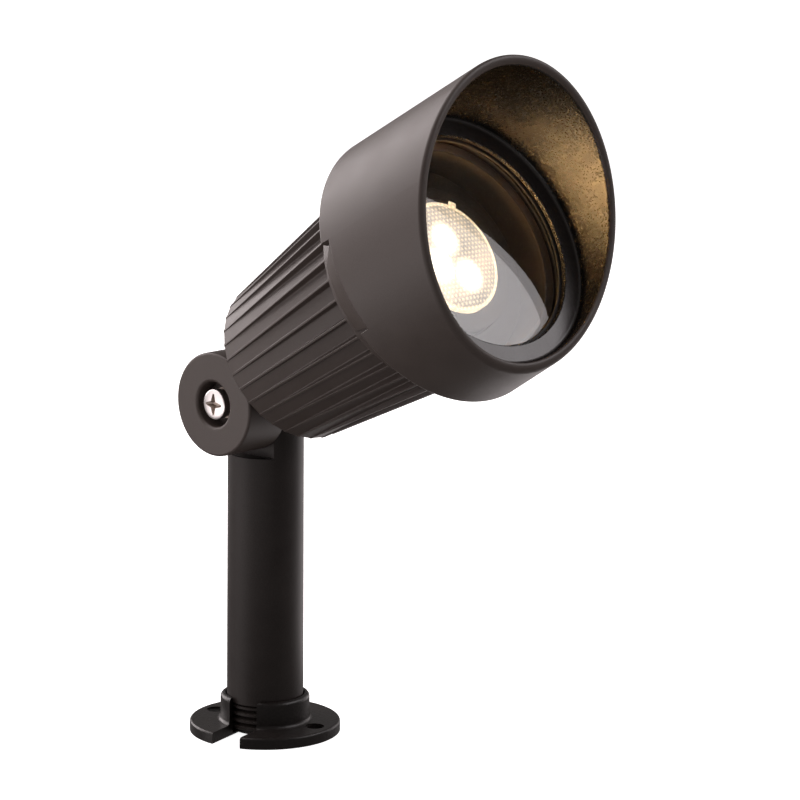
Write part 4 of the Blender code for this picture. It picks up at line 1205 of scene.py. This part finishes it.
def add_softbox(name, middle, target, size, radiance, colour=SOFTBOX_COLOUR):
    """A soft area light that faces its target, unseen by the camera."""
    width, height = size
    data = bpy.data.lights.new(name, "AREA")
    data.shape = "RECTANGLE"
    data.size = width
    data.size_y = height
    data.energy = radiance * math.pi * width * height
    data.color = colour
    box = bpy.data.objects.new(name, data)
    box.location = middle
    box.rotation_euler = (Vector(target) - Vector(middle)).to_track_quat("-Z", "Y").to_euler()
    box.visible_camera = False
    bpy.context.scene.collection.objects.link(box)


def add_lamp_light():
    """The lamp's own warm light, as it leaves the lens towards the hood."""
    data = bpy.data.lights.new("lamp_light", "AREA")
    data.shape = "DISK"
    data.size = 2 * LAMP_BEAM_RADIUS
    data.energy = LAMP_BEAM_WATTS
    data.cycles.use_multiple_importance_sampling = False
    data.color = LAMP_BEAM_COLOUR
    light = bpy.data.objects.new("lamp_light", data)
    ahead = Matrix.Translation((-LAMP_BEAM_RISE, LAMP_BEAM_SHIFT, LENS_CROWN + FINE_EDGE))
    light.matrix_world = ON_HEAD @ ahead @ Matrix.Rotation(math.pi, 4, "X")
    light.visible_camera = False
    light.visible_transmission = False
    bpy.context.scene.collection.objects.link(light)
    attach(light, "head")


def add_floor():
    """A pale floor that fills the view and leaves the lighting to the softboxes."""
    mesh = bpy.data.meshes.new("floor")
    corners = [polar(FLOOR_REACH, turn, -FLOOR_GAP) for turn in even_turns(4)]
    mesh.from_pydata(corners, [], [(0, 1, 2, 3)])
    floor = bpy.data.objects.new("floor", mesh)
    floor.visible_diffuse = False
    floor.visible_glossy = False
    bpy.context.scene.collection.objects.link(floor)
    finish, _, shader = new_finish("floor_finish")
    shader.inputs["Base Color"].default_value = FLOOR_COLOUR
    shader.inputs["Roughness"].default_value = FLOOR_ROUGHNESS
    shader.inputs["Emission Color"].default_value = FLOOR_GLOW_COLOUR
    shader.inputs["Emission Strength"].default_value = FLOOR_GLOW
    mesh.materials.append(finish)


def add_world():
    world = bpy.data.worlds.new("studio")
    world.use_nodes = True
    background = world.node_tree.nodes["Background"]
    background.inputs["Color"].default_value = WORLD_COLOUR
    background.inputs["Strength"].default_value = WORLD_STRENGTH
    bpy.context.scene.world = world


def add_camera():
    data = bpy.data.cameras.new("camera")
    data.lens = CAMERA_LENS
    data.sensor_width = CAMERA_SENSOR
    data.clip_end = CAMERA_SIGHT
    camera = bpy.data.objects.new("camera", data)
    turn = Matrix.Rotation(CAMERA_AZIMUTH, 4, "Z") @ Matrix.Rotation(math.pi / 2 - CAMERA_ELEVATION, 4, "X")
    camera.matrix_world = Matrix.Translation(CAMERA_PLACE) @ turn @ Matrix.Rotation(CAMERA_ROLL, 4, "Z")
    bpy.context.scene.collection.objects.link(camera)
    bpy.context.scene.camera = camera


def make_studio():
    for name, place, size, radiance in SOFTBOXES:
        add_softbox(name, STUDIO_CENTRE + Vector(place), STUDIO_CENTRE, size, radiance)
    for name, spot, size, radiance in FLOOR_PANELS:
        add_softbox(name, (*spot, FLOOR_PANEL_HEIGHT), (*spot, 1.0), size, radiance)
    add_softbox(
        "glass_softbox", STUDIO_CENTRE + Vector(GLASS_SOFTBOX_PLACE), STUDIO_CENTRE,
        GLASS_SOFTBOX_SIZE, GLASS_SOFTBOX_RADIANCE, GLASS_SOFTBOX_COLOUR,
    )
    add_floor()
    add_world()
    add_camera()
    bpy.context.scene.view_settings.view_transform = "Standard"


make_base_flange()
make_post()
make_pivot_fastener()
make_housing_shell()
make_housing_ear()
make_housing_keys()
make_hood()
make_glass_and_rings()
make_lamp_front()
dress_inner_nodes()
add_lamp_light()
make_studio()
